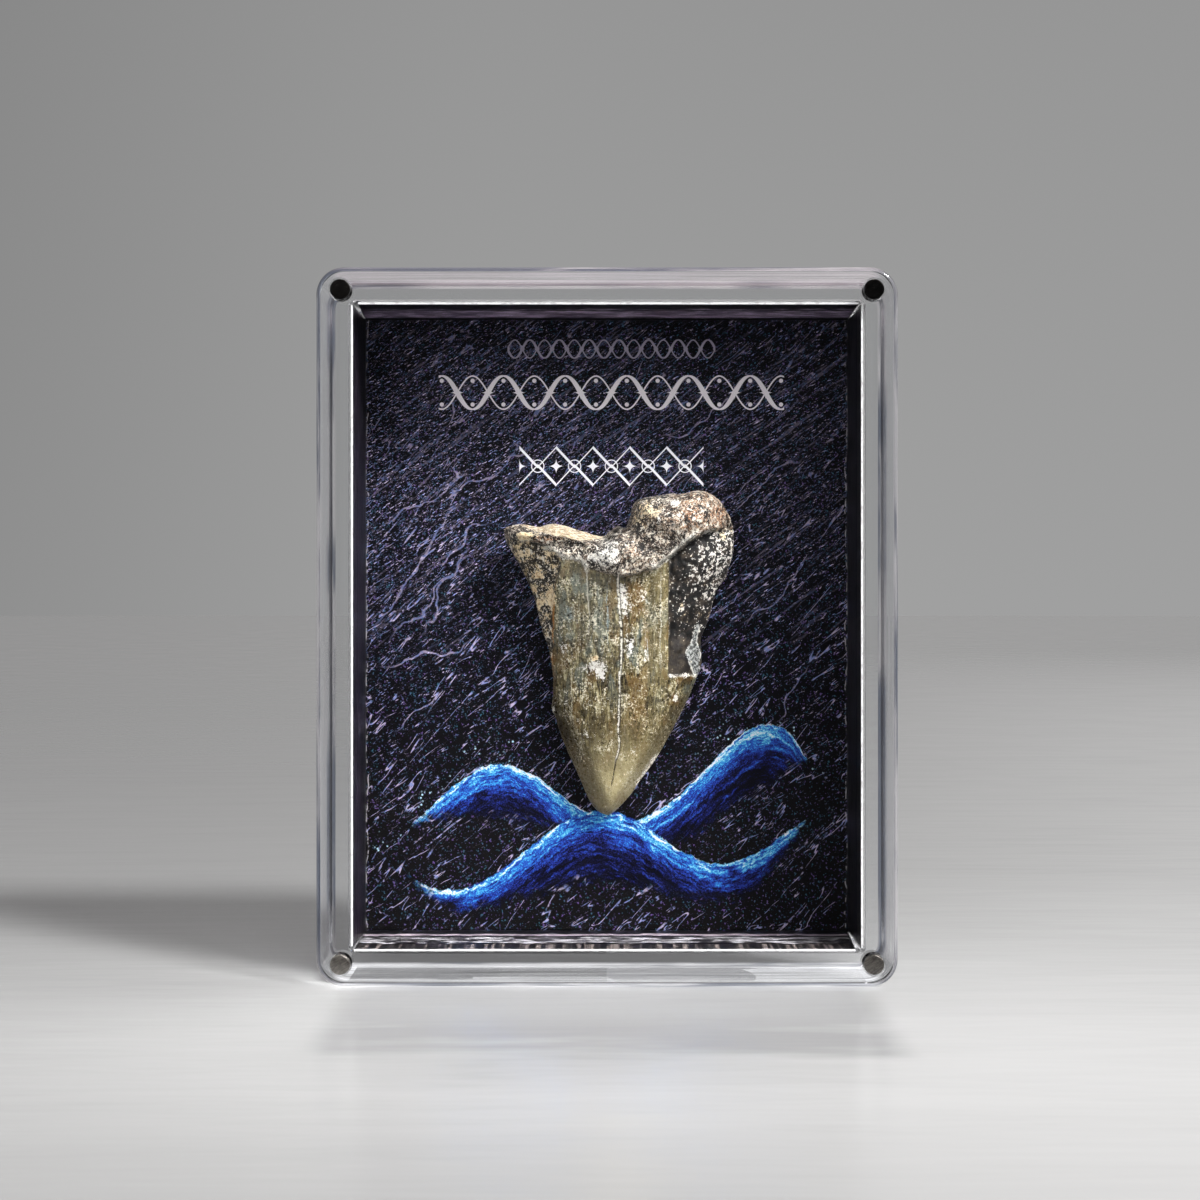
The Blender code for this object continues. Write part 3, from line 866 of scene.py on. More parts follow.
def cardFinish():
    # dark satin print: leather grain, then the water, the ornament and worn edges over it
    finish = Finish("printedFilm", Specular_IOR_Level=0.12)
    x, z = finish.x, finish.z
    strokes, grain, folds = leatherGrain(finish)
    broad = finish.noise(14.0, 3).spread(2.2)
    # the leather is lit from the upper left; its grain thins out downwards and to the right
    upper = z.rise(70.0, 98.0) * (z.rise(134.0, 116.0) * 0.65 + 0.35)
    dense = upper * (x.rise(30.0, -18.0) * 0.6 + 0.4) + x.rise(0.0, -46.0) * z.rise(44.0, 86.0) * 0.35
    dense = (dense * (broad * 0.7 + 0.65)).least(1.0)
    sparse = finish.noise(2.4, 2).rise(0.48, 0.58)
    light = (strokes * dense).most(grain * dense * 0.75).most(strokes * sparse * z.rise(8.0, 80.0))
    light = light.most(folds * (strokes * 0.75 + 0.25) * z.rise(56.0, 80.0) * broad.rise(0.15, 0.55) * 0.5)
    crests, shaded = creaseLines(finish, creases)
    crests = crests * (strokes * 0.6 + grain * 0.5 + 0.35) * (broad * 0.4 + 0.7)
    light = (light * (1 - shaded * 0.75)).most(crests)
    light = light.most(wrinkleLines(finish) * (grain * 0.5 + 0.6) * (z.rise(110.0, 76.0) * 0.5 + 0.5))
    hue = finish.noise(0.8, 2).rise(0.42, 0.58)
    base = finish.mix(z.rise(70.0, 20.0), (5, 4, 8), (14, 12, 13))
    specks = finish.noise(0.42, 2).spread(2.4).rise(0.76, 0.98)
    waves, cover = printedWaves(finish, swell)
    upperRow, centreRow, lowerRow = ornamentRows(finish, ornament)

    # painted highlight: beside the left and right folds a thin broken light line is painted where the bent
    # print would catch the light
    edge = card["width"] / 2 - abs(x) - finish.noise(5.0, 3).spread(2.4) * 0.9
    broken = finish.noise(1.0, 3, 0.6, finish.moved(stretch=(3, 3, 1.6))).rise(0.47, 0.56)
    finish.feed("Base Color", finish.coats(
        base,
        (light, finish.mix(hue, (170, 182, 250), (240, 224, 255))),
        (specks * 0.55, finish.mix(hue, (72, 132, 156), (142, 110, 190))),
        (cover, waves),
        (upperRow * 0.85, (176, 170, 188)),
        (centreRow * 0.95, (246, 240, 244)),
        (lowerRow * 0.97, (252, 252, 255)),
        # painted highlight along the left and right folds
        (abs(edge - 0.25).rise(0.18, -0.02) * broken * 0.85, (206, 200, 206)),
    ))
    finish.feed("Roughness", finish.noise(3.0, 2) * 0.2 + 0.34)
    return finish


cardPiece(card, [cardFinish(), paperBack])


# the card's flaps, folded forward along the pocket's walls
flap = {
    "rows": 40,             # from the fold to the front edge
    "pitch": 0.45,          # mm along the fold
    # how much of the front edge is cut away at the left or lower end, and at the right or upper end
    "frontCuts": {"top": (1.7, 1.2), "bottom": (0.9, 1.8), "left": (1.3, 0.8), "right": (0.9, 0.6)},
    "foldCut": 0.75,
    # height of the loose bend off the wall
    "bulge": {"top": 0.14, "bottom": 0.16, "left": 0.1, "right": 0.1},
    "crease": -1.5,         # y where the bend begins
    "creaseDepth": 0.15,
    "foldGap": 0.05,        # from the card's front to the fold
}


def flapPiece(say, side, finishes):
    # rings round the flap from the fold to its front edge: the inner face, then the outer face backwards
    low, high = nodeBox(f"card_flap_{side}")
    level, outwards = side in ("top", "bottom"), 1 if side in ("top", "right") else -1
    axis = 2 if level else 0
    outer, inner = (high[axis], low[axis]) if outwards > 0 else (low[axis], high[axis])
    reach = (case["width"] if level else case["height"]) / 2 - case["wall"]
    share = np.linspace(0, 1, say["rows"])[:, None]
    foldY = cardLow[1] - say["foldGap"]
    cuts = [say["foldCut"] + (cut - say["foldCut"]) * share for cut in say["frontCuts"][side]]
    columns = int(2 * reach / say["pitch"])
    across = np.linspace(0, 1, columns)[None, :]
    along = (cuts[0] - reach) * (1 - across) + (reach - cuts[1]) * across
    y = foldY + (low[1] - foldY) * share + 0 * along

    place = np.stack([along, y, np.full_like(along, outer + 30 * axis)], axis=-1)
    wander = 0.9 * roughNoise(place * (1, 0, 1), 5.0, 83)
    bend = stepUp(say["crease"], foldY, y + wander)
    dents = np.abs(roughNoise(place * (0.6, 0.8, 1), 1.8, 87))
    lift = bend * (0.75 + 0.5 * roughNoise(place * (0.5, 1, 1), 2.4, 85))
    lift = say["bulge"][side] * (lift + 0.5 * np.sin(math.pi * bend) * dents)
    lift -= say["creaseDepth"] * np.exp(-(((y + wander - say["crease"] + 1.0) / 0.5) ** 2))
    lift += 0.02 * roughNoise(place * (1, 0.3, 1), 3.0, 89) * (1 - bend)

    def sheet(offset):
        # a grid of points at this x or z
        parts = [along, y, offset] if level else [offset, y, along + middleZ]
        return np.stack(parts, axis=-1)

    rings = np.concatenate([sheet(inner - outwards * lift), sheet(outer + 0 * lift)[:, ::-1]], axis=1)
    sides = quadsBetween(say["rows"], 2 * columns, True).reshape(say["rows"] - 1, 2 * columns, 4)
    k = np.arange(columns - 1)
    cap = np.stack([k, k + 1, 2 * columns - 2 - k, 2 * columns - 1 - k], axis=-1)
    faces = [
        (sides[:, :columns - 1].reshape(-1, 4), 0, True),
        (sides[:, columns:-1].reshape(-1, 4), 2, True),
        (sides[:, [columns - 1, -1]].reshape(-1, 4), 1, False),
        (cap[:, ::-1], 0, False),
        (cap + (say["rows"] - 1) * 2 * columns, 1, False),
    ]
    name = f"cardFlap{side.capitalize()}"
    newPiece(name, rings.reshape(-1, 3), faces, finishes, f"card_flap_{side}")


def levelFilmColor(finish, color):
    # the upper and lower flaps, crumpled beside the fold: painted highlights on the crumples, lit on the
    # lower flap and dimmer on the upper one, painted shade along a crease, a painted highlight line and
    # darker bands near the fold, and stripes that paint the card's reflection on the lower one's floor
    y, upper = finish.y, finish.z.rise(middleZ - 1, middleZ + 1)
    lower = 1 - upper
    wavy = y + (finish.noise(6.0, 3).spread(2.0) - 0.5) * 1.8
    crumple = finish.noise(1.0, 4, 0.65, finish.moved(stretch=(4.6, 1.5, 1)), 0.3).spread(2.8)
    blotches = finish.noise(9.0, 2).spread(2.4) * 0.5 + 0.3
    paintedReflectionBars = finish.noise(1.0, 3, 0.6, finish.moved(stretch=(1.2, 50, 50))).spread(2.6)
    # painted reflection: stripes on the lower flap's floor stand in for the card's print mirrored in the wall
    foot = finish.mix(paintedReflectionBars.rise(0.4, 0.8) * 0.85, (22, 20, 21), (146, 134, 128))
    # painted highlight, shaded copy: dimmer lavender light on the upper flap's crumples
    pale = finish.mix(crumple.rise(0.3, 0.9) * 0.85, (92, 80, 104), (238, 216, 248))
    # painted highlight, lit copy: bright light on the lower flap's crumples
    paintedLitCrumples = finish.mix((crumple * 0.8 + blotches * 0.4).rise(0.5, 0.95), (34, 31, 34), (236, 232, 236))
    line = within(wavy, 5.6, 7.4, 0.5) * lower * (crumple.rise(0.1, 0.5) * 0.6 + 0.3)
    return finish.coats(
        finish.mix(upper, foot, color),
        (wavy.rise(-2.4, -1.6), finish.mix(upper, paintedLitCrumples, pale)),
        # painted shade: a black line along the crease
        (abs(wavy + 2.9 - upper * 2.0).rise(0.9, 0.5), (3, 3, 4)),
        (y.rise(3.6, 4.6) * lower, (10, 9, 12)),
        # painted highlight: a thin pale line near the fold on the lower flap
        (line, (214, 198, 208)),
        (y.rise(8.0, 8.8), (14, 13, 18)),
    )


def flapFilm(name, level):
    # near black print, with painted shade that makes the right flap darker and darkens the upright flaps
    # towards the fold, and white flecks along the front edge
    finish = Finish(name, Specular_IOR_Level=0.3, Roughness=0.3)
    y = finish.y
    dim = finish.noise(1.0, 3, 0.6, finish.moved(stretch=(5, 12, 5))).spread(2.6)
    color = finish.mix(dim, (10, 8, 12), (32, 25, 36))
    if level:
        color = levelFilmColor(finish, color)
    else:
        # painted shade: the right flap is painted darker, and the upright flaps darker towards the fold
        right = finish.x.rise(-1.0, 1.0)
        color = finish.coats(color, (right * 0.85, (5, 5, 6)), (y.rise(1.5, 3.5), (4, 4, 6)))
    grain = finish.noise(0.6, 3).spread(2.6).rise(0.75, 1.0)
    flecks = finish.noise(0.5, 2).spread(3.0).rise(0.75, 0.9) * y.rise(-8.2, -8.9)
    color = finish.coats(color, (grain * 0.3, (120, 110, 130)), (flecks * 0.8, (214, 212, 210)))
    finish.feed("Base Color", color)
    finish.feed("Normal", finish.bump(finish.noise(0.9, 4, 0.6), 0.00012, 0.6))
    return finish


levelFilm, uprightFilm = flapFilm("levelFlapFilm", True), flapFilm("uprightFlapFilm", False)
for side in flap["frontCuts"]:
    film = levelFilm if side in ("top", "bottom") else uprightFilm
    flapPiece(flap, side, [film, cutEdge, paperBack])
print("card and flaps are made")


# the tooth: u runs to the right of the crown's tip and w above it
tooth = {
    "rows": 240,
    "columns": 200,
    "rowEase": 1.35,        # above 1, the rows lie closer together towards the root
    "bendFrom": 0.62,       # share of the rows that stay level, before they bend to the root's upper edge
    "bluntTo": 0.85,        # share of the rows at which the cross-section is at its bluntest
    # a cross-section is (1 - across^inner)^outer: each power at the tip, and what the root adds to it
    "frontPower": (2.0, 1.6),
    "backPower": (3.0, 1.0),
    "outerPower": (0.8, -0.28),     # for both faces
    "leanPower": 1.5,       # how late the tooth leans forward from the card
    "leftLobe": (-3.0, 5.0),        # u where the slanted left lobe begins and ends to turn round
    "tip": (0.3, 31.4),
    "backContact": cardLow[1] - 0.3,
    "backSlack": 0.1,       # how far the small relief may pass the plane of contact
    "tipStandoff": 2.0,
    "rootStandoff": 2.8,
    # heights on the left and right flank that a row joins, from the tip up
    "leftHeights": [0.0, 0.8, 2.3, 5.5, 10.0, 16.8, 23.0, 29.2, 33.5, 38.5, 45.5, 50.0, 54.0, 57.0, 59.6],
    "rightHeights": [0.0, 0.8, 2.3, 5.5, 10.0, 16.8, 23.3, 29.3, 33.5, 38.3, 45.0, 49.8, 54.0, 57.0, 60.0],
    # the flanks, as w and u
    "leftEdge": [
        (0.0, 0.0), (0.59, -1.68), (2.06, -3.25), (4.16, -4.41), (6.69, -5.46), (10.06, -6.93),
        (13.42, -8.5), (16.79, -9.86), (20.15, -10.9), (22.4, -11.78), (23.3, -11.72), (25.4, -11.53),
        (29.18, -11.52), (32.54, -12.04), (34.85, -12.35), (38.62, -13.71), (42.38, -14.64),
        (45.73, -15.47), (48.44, -16.51), (50.95, -17.75), (53.66, -19.21), (56.15, -20.66),
        (58.03, -21.5), (59.6, -21.7),
    ],
    "rightEdge": [
        (0.0, 0.0), (0.8, 1.3), (2.59, 3.15), (4.8, 5.04), (7.11, 6.51), (10.48, 9.02), (13.42, 10.91),
        (16.79, 12.79), (19.52, 14.25), (23.3, 16.13), (26.03, 17.39), (29.29, 18.63), (31.28, 19.36),
        (33.38, 19.46), (36.73, 19.35), (38.3, 19.86), (41.34, 21.03), (44.89, 21.93), (47.61, 22.86),
        (49.48, 24.42), (51.99, 25.24), (53.97, 25.86), (56.57, 26.18), (57.82, 26.05), (60.0, 24.8),
    ],
    # the root's upper edge: a broken, level left lobe, a notch, and a high rounded right lobe
    "rootTop": [
        (-21.7, 59.6), (-21.1, 60.3), (-18.1, 60.9), (-14.4, 60.3), (-11.9, 60.9), (-8.8, 60.5),
        (-5.9, 59.5), (-1.5, 58.4), (0.2, 59.3), (2.0, 60.3), (3.6, 60.3), (4.6, 62.7), (5.0, 64.5),
        (6.2, 65.9), (8.3, 66.5), (12.4, 67.0), (15.4, 67.2), (18.3, 67.8), (20.6, 67.4), (22.8, 66.1),
        (24.1, 64.5), (24.6, 62.6), (24.8, 60.0),
    ],
    "frontHeights": [0.0, 1.0, 1.8, 2.9, 3.9, 5.2, 5.9, 6.3, 6.5, 6.7, 7.0, 7.1, 7.2, 7.2, 7.2],
    "backHeights": [0.0, 0.5, 0.8, 1.0, 1.2, 1.4, 1.5, 1.6, 1.7, 2.0, 2.6, 3.1, 3.6, 4.0, 4.4],
    "breakDepth": 2.3,
    "lobeDepth": 7.0,
    "backLobeDepth": 5.0,
}

# where the root, the bare strip on the left and the break on the right end, and what they carry
relief = {
    "enamelTop": [
        (-22.0, 58.0), (-16.0, 57.3), (-12.5, 55.9), (-9.4, 53.8), (-6.0, 53.2), (-4.4, 51.4),
        (-1.5, 50.7), (2.0, 50.0), (5.0, 50.2), (8.6, 51.2), (10.6, 52.4), (13.5, 54.6), (17.2, 57.5),
        (20.2, 58.9), (26.0, 59.9),
    ],
    "enamelLeft": [(24.0, -12.2), (30.0, -11.6), (40.0, -11.3), (46.0, -11.1), (50.0, -10.3), (54.0, -9.3)],
    "backEnamelTop": (0.6, 21.0),   # a share of the front's height, and how much more
    "far": 9.0,             # a distance out of reach of every line
    "stripFoot": 26.0,
    "breakLeft": 12.4,
    "breakFoot": 29.3,
    "rootRise": (0.7, 2.0),
    "stripDrop": 1.0,
    "breakDrop": 1.3,
    "rootMounds": [(1.4, 15.0, 61.5, 9.0, 5.0), (0.8, -15.0, 58.0, 6.0, 3.0), (0.7, 3.0, 54.0, 5.0, 3.0)],
    "rootHollows": [(-1.5, -1.0, 58.5, 2.6, 2.6), (-0.9, -9.0, 56.2, 6.0, 1.1)],
    "breakMounds": [(0.7, 20.0, 50.0, 5.0, 6.0)],
    "folds": [(0.35, 10.8, 1.2), (-0.3, 8.4, 1.0), (-0.25, -6.5, 2.0)],  # height, u and half width
    # closed outlines: the split face on top of the left lobe, a smooth window and a glassy chip in the break
    "facet": [
        (-18.2, 60.8), (-14.4, 60.6), (-8.8, 60.9), (-1.2, 58.9), (-2.9, 57.7), (-7.7, 57.5), (-14.4, 59.2),
    ],
    "window": [(12.4, 29.3), (16.9, 29.3), (16.0, 33.5), (17.3, 36.8), (12.6, 37.4)],
    "chip": [
        (17.9, 29.5), (17.2, 31.2), (16.5, 32.6), (16.2, 34.3), (17.4, 36.6), (18.3, 39.8), (19.0, 39.5),
        (18.4, 36.8), (19.1, 34.5), (19.3, 33.6), (18.8, 31.8), (19.3, 30.4), (18.9, 29.6),
    ],
    # cracks, as w and u, from their foot up
    "mainCrack": [
        (6.6, 0.6), (9.0, 1.2), (11.5, 1.5), (14.6, 2.2), (20.0, 2.1), (28.2, 2.4), (36.6, 2.8), (44.0, 2.3),
        (50.5, 1.9),
    ],
    "sideCrack": [(33.0, -4.6), (37.0, -4.2), (41.0, -3.9), (46.0, -4.3), (51.4, -4.4)],
    # lines of pale crust
    "crust": [(-13.0, 55.8), (-11.0, 55.2), (-9.2, 53.8), (-5.9, 53.3), (-4.9, 52.6), (-4.4, 51.2)],
    "ledge": [(9.0, 51.8), (11.0, 52.8), (14.2, 55.7), (16.0, 57.4), (18.2, 59.3)],
    "foot": [(12.7, 29.6), (14.5, 29.2), (16.5, 29.5), (18.4, 29.2)],
    "flank": [(6.0, 6.9), (7.4, 8.6), (9.0, 10.9), (10.2, 12.6)],
}

# small relief, in mm: how rough the bone is, broad and fine, then grooves, hollows and what stands proud
grit = {
    "root": (0.3, 0.2),
    "break": (0.26, 0.16),
    "enamel": {"stripes": 0.05, "broad": 0.06, "fine": 0.012},
    "facet": 0.12,
    "lumps": 0.18,
    "crack": 0.18,
    "sideCrack": 0.16,
    "sideCrackHalf": 0.25,
    "crust": 0.08,
    "chipLip": 0.16,
    "flakes": 0.07,
    "backMost": 0.2,
    "backRoot": 0.22,
    "backEnamel": 0.05,
    # round hollows: seed, count, corners of their box as u and w, least and greatest radius, depth
    "pores": (63, 260, (-22, 24), (27, 68), (0.35, 1.0), 0.38),
    "nicks": (64, 150, (-13, 2), (18, 50), (0.3, 0.65), 0.12),
    "backPores": (74, 140, (-22, 45), (27, 68), (0.4, 1.1), 0.25),
}

# patches of colour: strength, u, w, and reach along u and w
patches = {
    "cream": [
        (1.1, -17.0, 58.3, 2.2, 1.0), (0.8, -18.4, 54.6, 2.2, 1.2), (0.8, -11.8, 54.4, 1.4, 1.1),
        (1.0, -14.4, 50.3, 1.5, 1.1), (0.9, -15.4, 47.2, 0.8, 1.0), (1.1, -11.9, 45.9, 1.2, 2.4),
        (0.9, -14.2, 44.4, 1.1, 1.4), (0.7, 23.7, 58.2, 0.8, 1.5), (0.9, -2.7, 33.2, 0.8, 0.6),
        (0.6, 15.2, 43.8, 0.5, 0.9), (0.6, 8.2, 63.5, 2.6, 2.2), (0.5, 6.0, 61.0, 1.2, 2.0),
    ],
    "white": [
        (0.72, 0.4, 55.2, 2.2, 4.2), (0.8, -2.8, 53.6, 1.8, 1.4), (0.9, 13.6, 65.0, 1.3, 0.9),
        (0.8, 10.2, 61.2, 0.6, 1.1), (0.9, 20.2, 58.8, 1.2, 0.8), (1.0, 23.6, 54.0, 2.3, 1.9),
        (0.75, 19.2, 50.2, 1.9, 2.4), (0.7, 15.5, 52.8, 2.6, 1.6), (0.9, -2.9, 31.2, 2.6, 1.5),
        (0.7, -1.4, 29.6, 1.2, 2.0), (0.6, 4.6, 35.4, 1.2, 2.4), (1.3, 14.0, 24.8, 0.55, 0.8),
        (0.8, 2.9, 46.5, 0.8, 2.8), (0.6, 3.5, 44.0, 1.5, 3.0), (0.6, 7.4, 45.5, 0.6, 2.2),
        (0.6, -9.3, 35.5, 1.3, 2.2), (0.9, 7.7, 34.0, 0.35, 1.5), (0.5, -8.7, 24.0, 0.8, 1.6),
        (0.5, -4.5, 17.5, 1.4, 1.6), (1.0, -11.4, 22.3, 0.3, 0.8), (0.5, -9.8, 12.5, 0.8, 2.0),
        (0.5, 5.2, 13.9, 0.9, 0.7), (0.45, 7.0, 6.8, 0.9, 0.7),
    ],
    "amber": [
        (1.0, 22.6, 62.6, 1.8, 2.2), (0.6, 17.0, 62.6, 3.4, 2.2), (0.9, 17.8, 56.1, 2.0, 1.0),
        (0.9, 5.6, 45.2, 2.4, 4.4), (0.7, 15.2, 28.6, 3.0, 0.6), (0.6, 5.4, 21.0, 3.6, 4.0),
        (0.5, -8.0, 50.8, 1.5, 1.0), (0.5, 11.6, 20.0, 1.0, 2.5), (0.7, -11.2, 30.0, 0.5, 8.0),
        (0.6, 7.9, 38.0, 1.0, 6.0), (0.6, -12.0, 57.6, 5.0, 0.8), (0.5, 5.0, 55.0, 2.0, 1.5),
        (0.5, 3.4, 3.0, 1.6, 1.8), (0.5, -3.5, 3.5, 1.2, 2.0),
    ],
    "blue": [
        (1.0, -8.0, 42.2, 1.7, 2.6), (0.9, 0.0, 39.8, 0.6, 2.6), (0.9, 7.9, 45.2, 0.7, 1.8),
        (0.6, 1.0, 49.0, 2.6, 1.0), (0.5, -6.5, 49.4, 3.0, 1.6), (0.7, 5.8, 26.5, 1.8, 1.8),
        (0.5, 13.5, 20.5, 1.4, 3.0), (0.4, 3.5, 18.0, 2.0, 5.0), (0.5, -3.4, 25.4, 2.0, 1.6),
    ],
    "flecks": [(1.0, 21.5, 51.5, 4.5, 6.0), (0.5, 16.5, 44.0, 4.0, 5.0), (0.6, -15.0, 52.0, 5.0, 5.0)],
    "dark": [
        (0.9, -7.3, 45.3, 0.9, 0.8), (0.9, 4.6, 36.4, 1.5, 3.2), (0.6, -1.8, 36.8, 1.2, 1.2),
        (0.5, -11.0, 27.0, 0.8, 5.0), (0.6, -3.6, 23.8, 0.9, 3.0), (0.5, -9.3, 16.0, 1.1, 4.0),
        (0.5, -7.4, 10.5, 0.8, 3.0), (0.6, 0.8, 24.0, 0.7, 5.0), (0.5, 4.0, 49.3, 4.5, 0.9),
        (0.5, -5.2, 38.6, 0.4, 4.0), (0.5, 9.6, 11.8, 1.0, 3.0),
    ],
}


def insideShape(points, u, w):
    # whether a ray to the right crosses a closed smooth outline an odd number of times
    outline = denseCurve([*points, points[0]], 8)
    inside = np.zeros(u.shape, bool)
    for (u1, w1), (u2, w2) in zip(outline[:-1], outline[1:]):
        if w1 != w2:
            crosses = (w1 > w) != (w2 > w)
            inside ^= crosses & (u < u1 + (w - w1) * (u2 - u1) / (w2 - w1))
    return inside


def depthInside(points, u, w):
    # distance to a closed outline, above 0 inside it
    return np.where(insideShape(points, u, w), 1, -1) * distanceTo([*points, points[0]], u, w)


def toothPlan(say):
    # rows run from flank to flank at paired heights, and bend up to follow the root's upper edge
    t = 1 - (1 - np.linspace(0, 1, say["rows"])) ** say["rowEase"]
    even = np.linspace(-1, 1, say["columns"])
    x = 0.5 * even + 0.5 * np.sin(even * math.pi / 2)
    place = t * (len(say["leftHeights"]) - 1)
    wLeft, wRight = (smoothCurve(say[side], place)[:, 0] for side in ("leftHeights", "rightHeights"))
    uLeft, uRight = heightAlong(say["leftEdge"], wLeft), heightAlong(say["rightEdge"], wRight)
    share = ((x + 1) / 2)[None, :]
    u = uLeft[:, None] * (1 - share) + uRight[:, None] * share
    w = wLeft[:, None] * (1 - share) + wRight[:, None] * share
    rise = heightAlong(say["rootTop"], u[-1]) - w[-1]
    w = w + stepUp(say["bendFrom"], 1.0, t)[:, None] * rise[None, :]
    return t, x, place, u, w


def toothLines(u, w, say):
    # distances in mm to the edges of each part of the front, above 0 inside the part
    around = np.stack([u, w, 0 * u], axis=-1)
    ragged = roughNoise(around, 2.4, 41)
    frayed = 0.35 * ragged + 0.3 * roughNoise(around, 0.9, 45, 2)
    lines = {"root": w - heightAlong(say["enamelTop"], u) + frayed}
    onLeft = np.minimum(heightAlong(say["enamelLeft"], w) - u, (w - say["stripFoot"]) * 0.4)
    lines["strip"] = np.minimum(onLeft + 0.15 * ragged, -lines["root"])
    onRight = np.minimum(u - say["breakLeft"] + 0.12 * ragged, w - say["breakFoot"] + 0.15 * ragged)
    lines["broken"] = np.minimum(onRight, -lines["root"])
    for name in ("facet", "window", "chip"):
        lines[name] = depthInside(say[name], u, w) + 0.12 * ragged
    lines["crack"] = u - heightAlong(say["mainCrack"], w) + 0.16 * valueNoise(around, 1.4, 43)
    low, high = say["sideCrack"][0][0], say["sideCrack"][-1][0]
    side = np.where((w > low) & (w < high), u - heightAlong(say["sideCrack"], w), say["far"])
    lines["sideCrack"] = side + 0.12 * valueNoise(around, 1.1, 44)
    crust = [distanceTo(say[name], u, w) for name in ("crust", "ledge", "foot", "flank")]
    lines["crust"] = np.min(crust, axis=0)
    return lines


def pits(u, w, seed, count, low, high, reach, depth):
    # round hollows at random places in a box: the sum of 1 - (distance / radius)^2 inside each, squared,
    # no deeper than the depth
    draw = np.random.default_rng(seed)
    centres = draw.uniform(low, high, (count, 2))
    radii = draw.uniform(*reach, count)
    total = sum(
        np.clip(1 - ((u - atU) ** 2 + (w - atW) ** 2) / radius**2, 0, 1) ** 2
        for (atU, atW), radius in zip(centres, radii)
    )
    return depth * np.minimum(total, 1)


def frontRelief(u, w, t, lines, say):
    # the steps between root, enamel, strip and break, as in the solid but with crisp edges
    root = stepUp(-0.2, 0.45, lines["root"])
    strip = stepUp(0.0, 0.7, lines["strip"])
    broken = stepUp(0.0, 0.4, lines["broken"])
    crown = (1 - root) * (1 - broken) * (1 - strip)
    low, high = say["rootRise"]
    height = root * (low + (high - low) * stepUp(-4.0, 1.0, u))
    height += root * mounds(u, w, say["rootMounds"]) + mounds(u, w, say["rootHollows"])
    height += broken * mounds(u, w, say["breakMounds"]) - say["stripDrop"] * strip - say["breakDrop"] * broken
    folds = sum(h * np.exp(-((u - at) / half) ** 2) for h, at, half in say["folds"])
    height += crown * stepUp(24.0, 34.0, w) * folds
    lumps = np.sin(0.9 * u + 1.7) * np.sin(1.1 * w) + 0.6 * np.sin(1.9 * u - 1.3 * w)
    height += grit["lumps"] * lumps * (root + 0.6 * broken + 0.5 * strip)
    return height, root, crown, broken, strip


def toothGrids(say, marks):
    # the base form: two height fields off one bent plane, closed along the flanks and the root's top
    t, x, place, u, w = toothPlan(say)
    belowTop = distanceTo(say["rootTop"], u, w)
    belowTop[-1] = 0
    lobe = stepUp(*say["leftLobe"], u)
    slant = np.clip(belowTop / say["breakDepth"], 0, 1)
    frontCap = (1 - lobe) * slant + lobe * roundedEnd(belowTop / say["lobeDepth"])
    backCap = roundedEnd(belowTop / say["backLobeDepth"])
    blunt = stepUp(say["bendFrom"], say["bluntTo"], t)[:, None]
    across = np.abs(x)[None, :]
    frontPower, backPower, outerPower = (
        first + more * blunt for first, more in (say["frontPower"], say["backPower"], say["outerPower"])
    )
    front = smoothCurve(say["frontHeights"], place) * (1 - across**frontPower) ** outerPower * frontCap
    back = smoothCurve(say["backHeights"], place) * (1 - across**backPower) ** outerPower * backCap
    rim = np.clip(1 - across**6, 0, 1) * np.sqrt(frontCap)
    lines = toothLines(u, w, marks)
    height, *parts = frontRelief(u, w, t, lines, marks)
    front = np.maximum(front + height * rim, 0.25 * front)
    planeY = say["backContact"] - (say["tipStandoff"] + say["rootStandoff"] * t ** say["leanPower"])[:, None]
    frontPoints = np.stack([say["tip"][0] + u, planeY - front, say["tip"][1] + w], axis=-1)
    backPoints = np.stack([say["tip"][0] + u, planeY + back, say["tip"][1] + w], axis=-1)
    return u, w, rim, lines, parts, frontPoints, backPoints


def surfaceNormals(points, quads, triangles):
    # each corner's normal: the sum of its faces' normals, made one long; a face's normal is the cross
    # product of a quad's diagonals or of a triangle's sides from its first corner
    total = np.zeros_like(points)
    for faces, ends in ((quads, (2, 0, 3, 1)), (triangles, (1, 0, 2, 0))):
        a, b, c, d = (points[faces[:, k]] for k in ends)
        across = np.cross(a - b, c - d)
        for k in range(faces.shape[1]):
            np.add.at(total, faces[:, k], across)
    return total / np.maximum(np.linalg.norm(total, axis=1), 1e-9)[:, None]


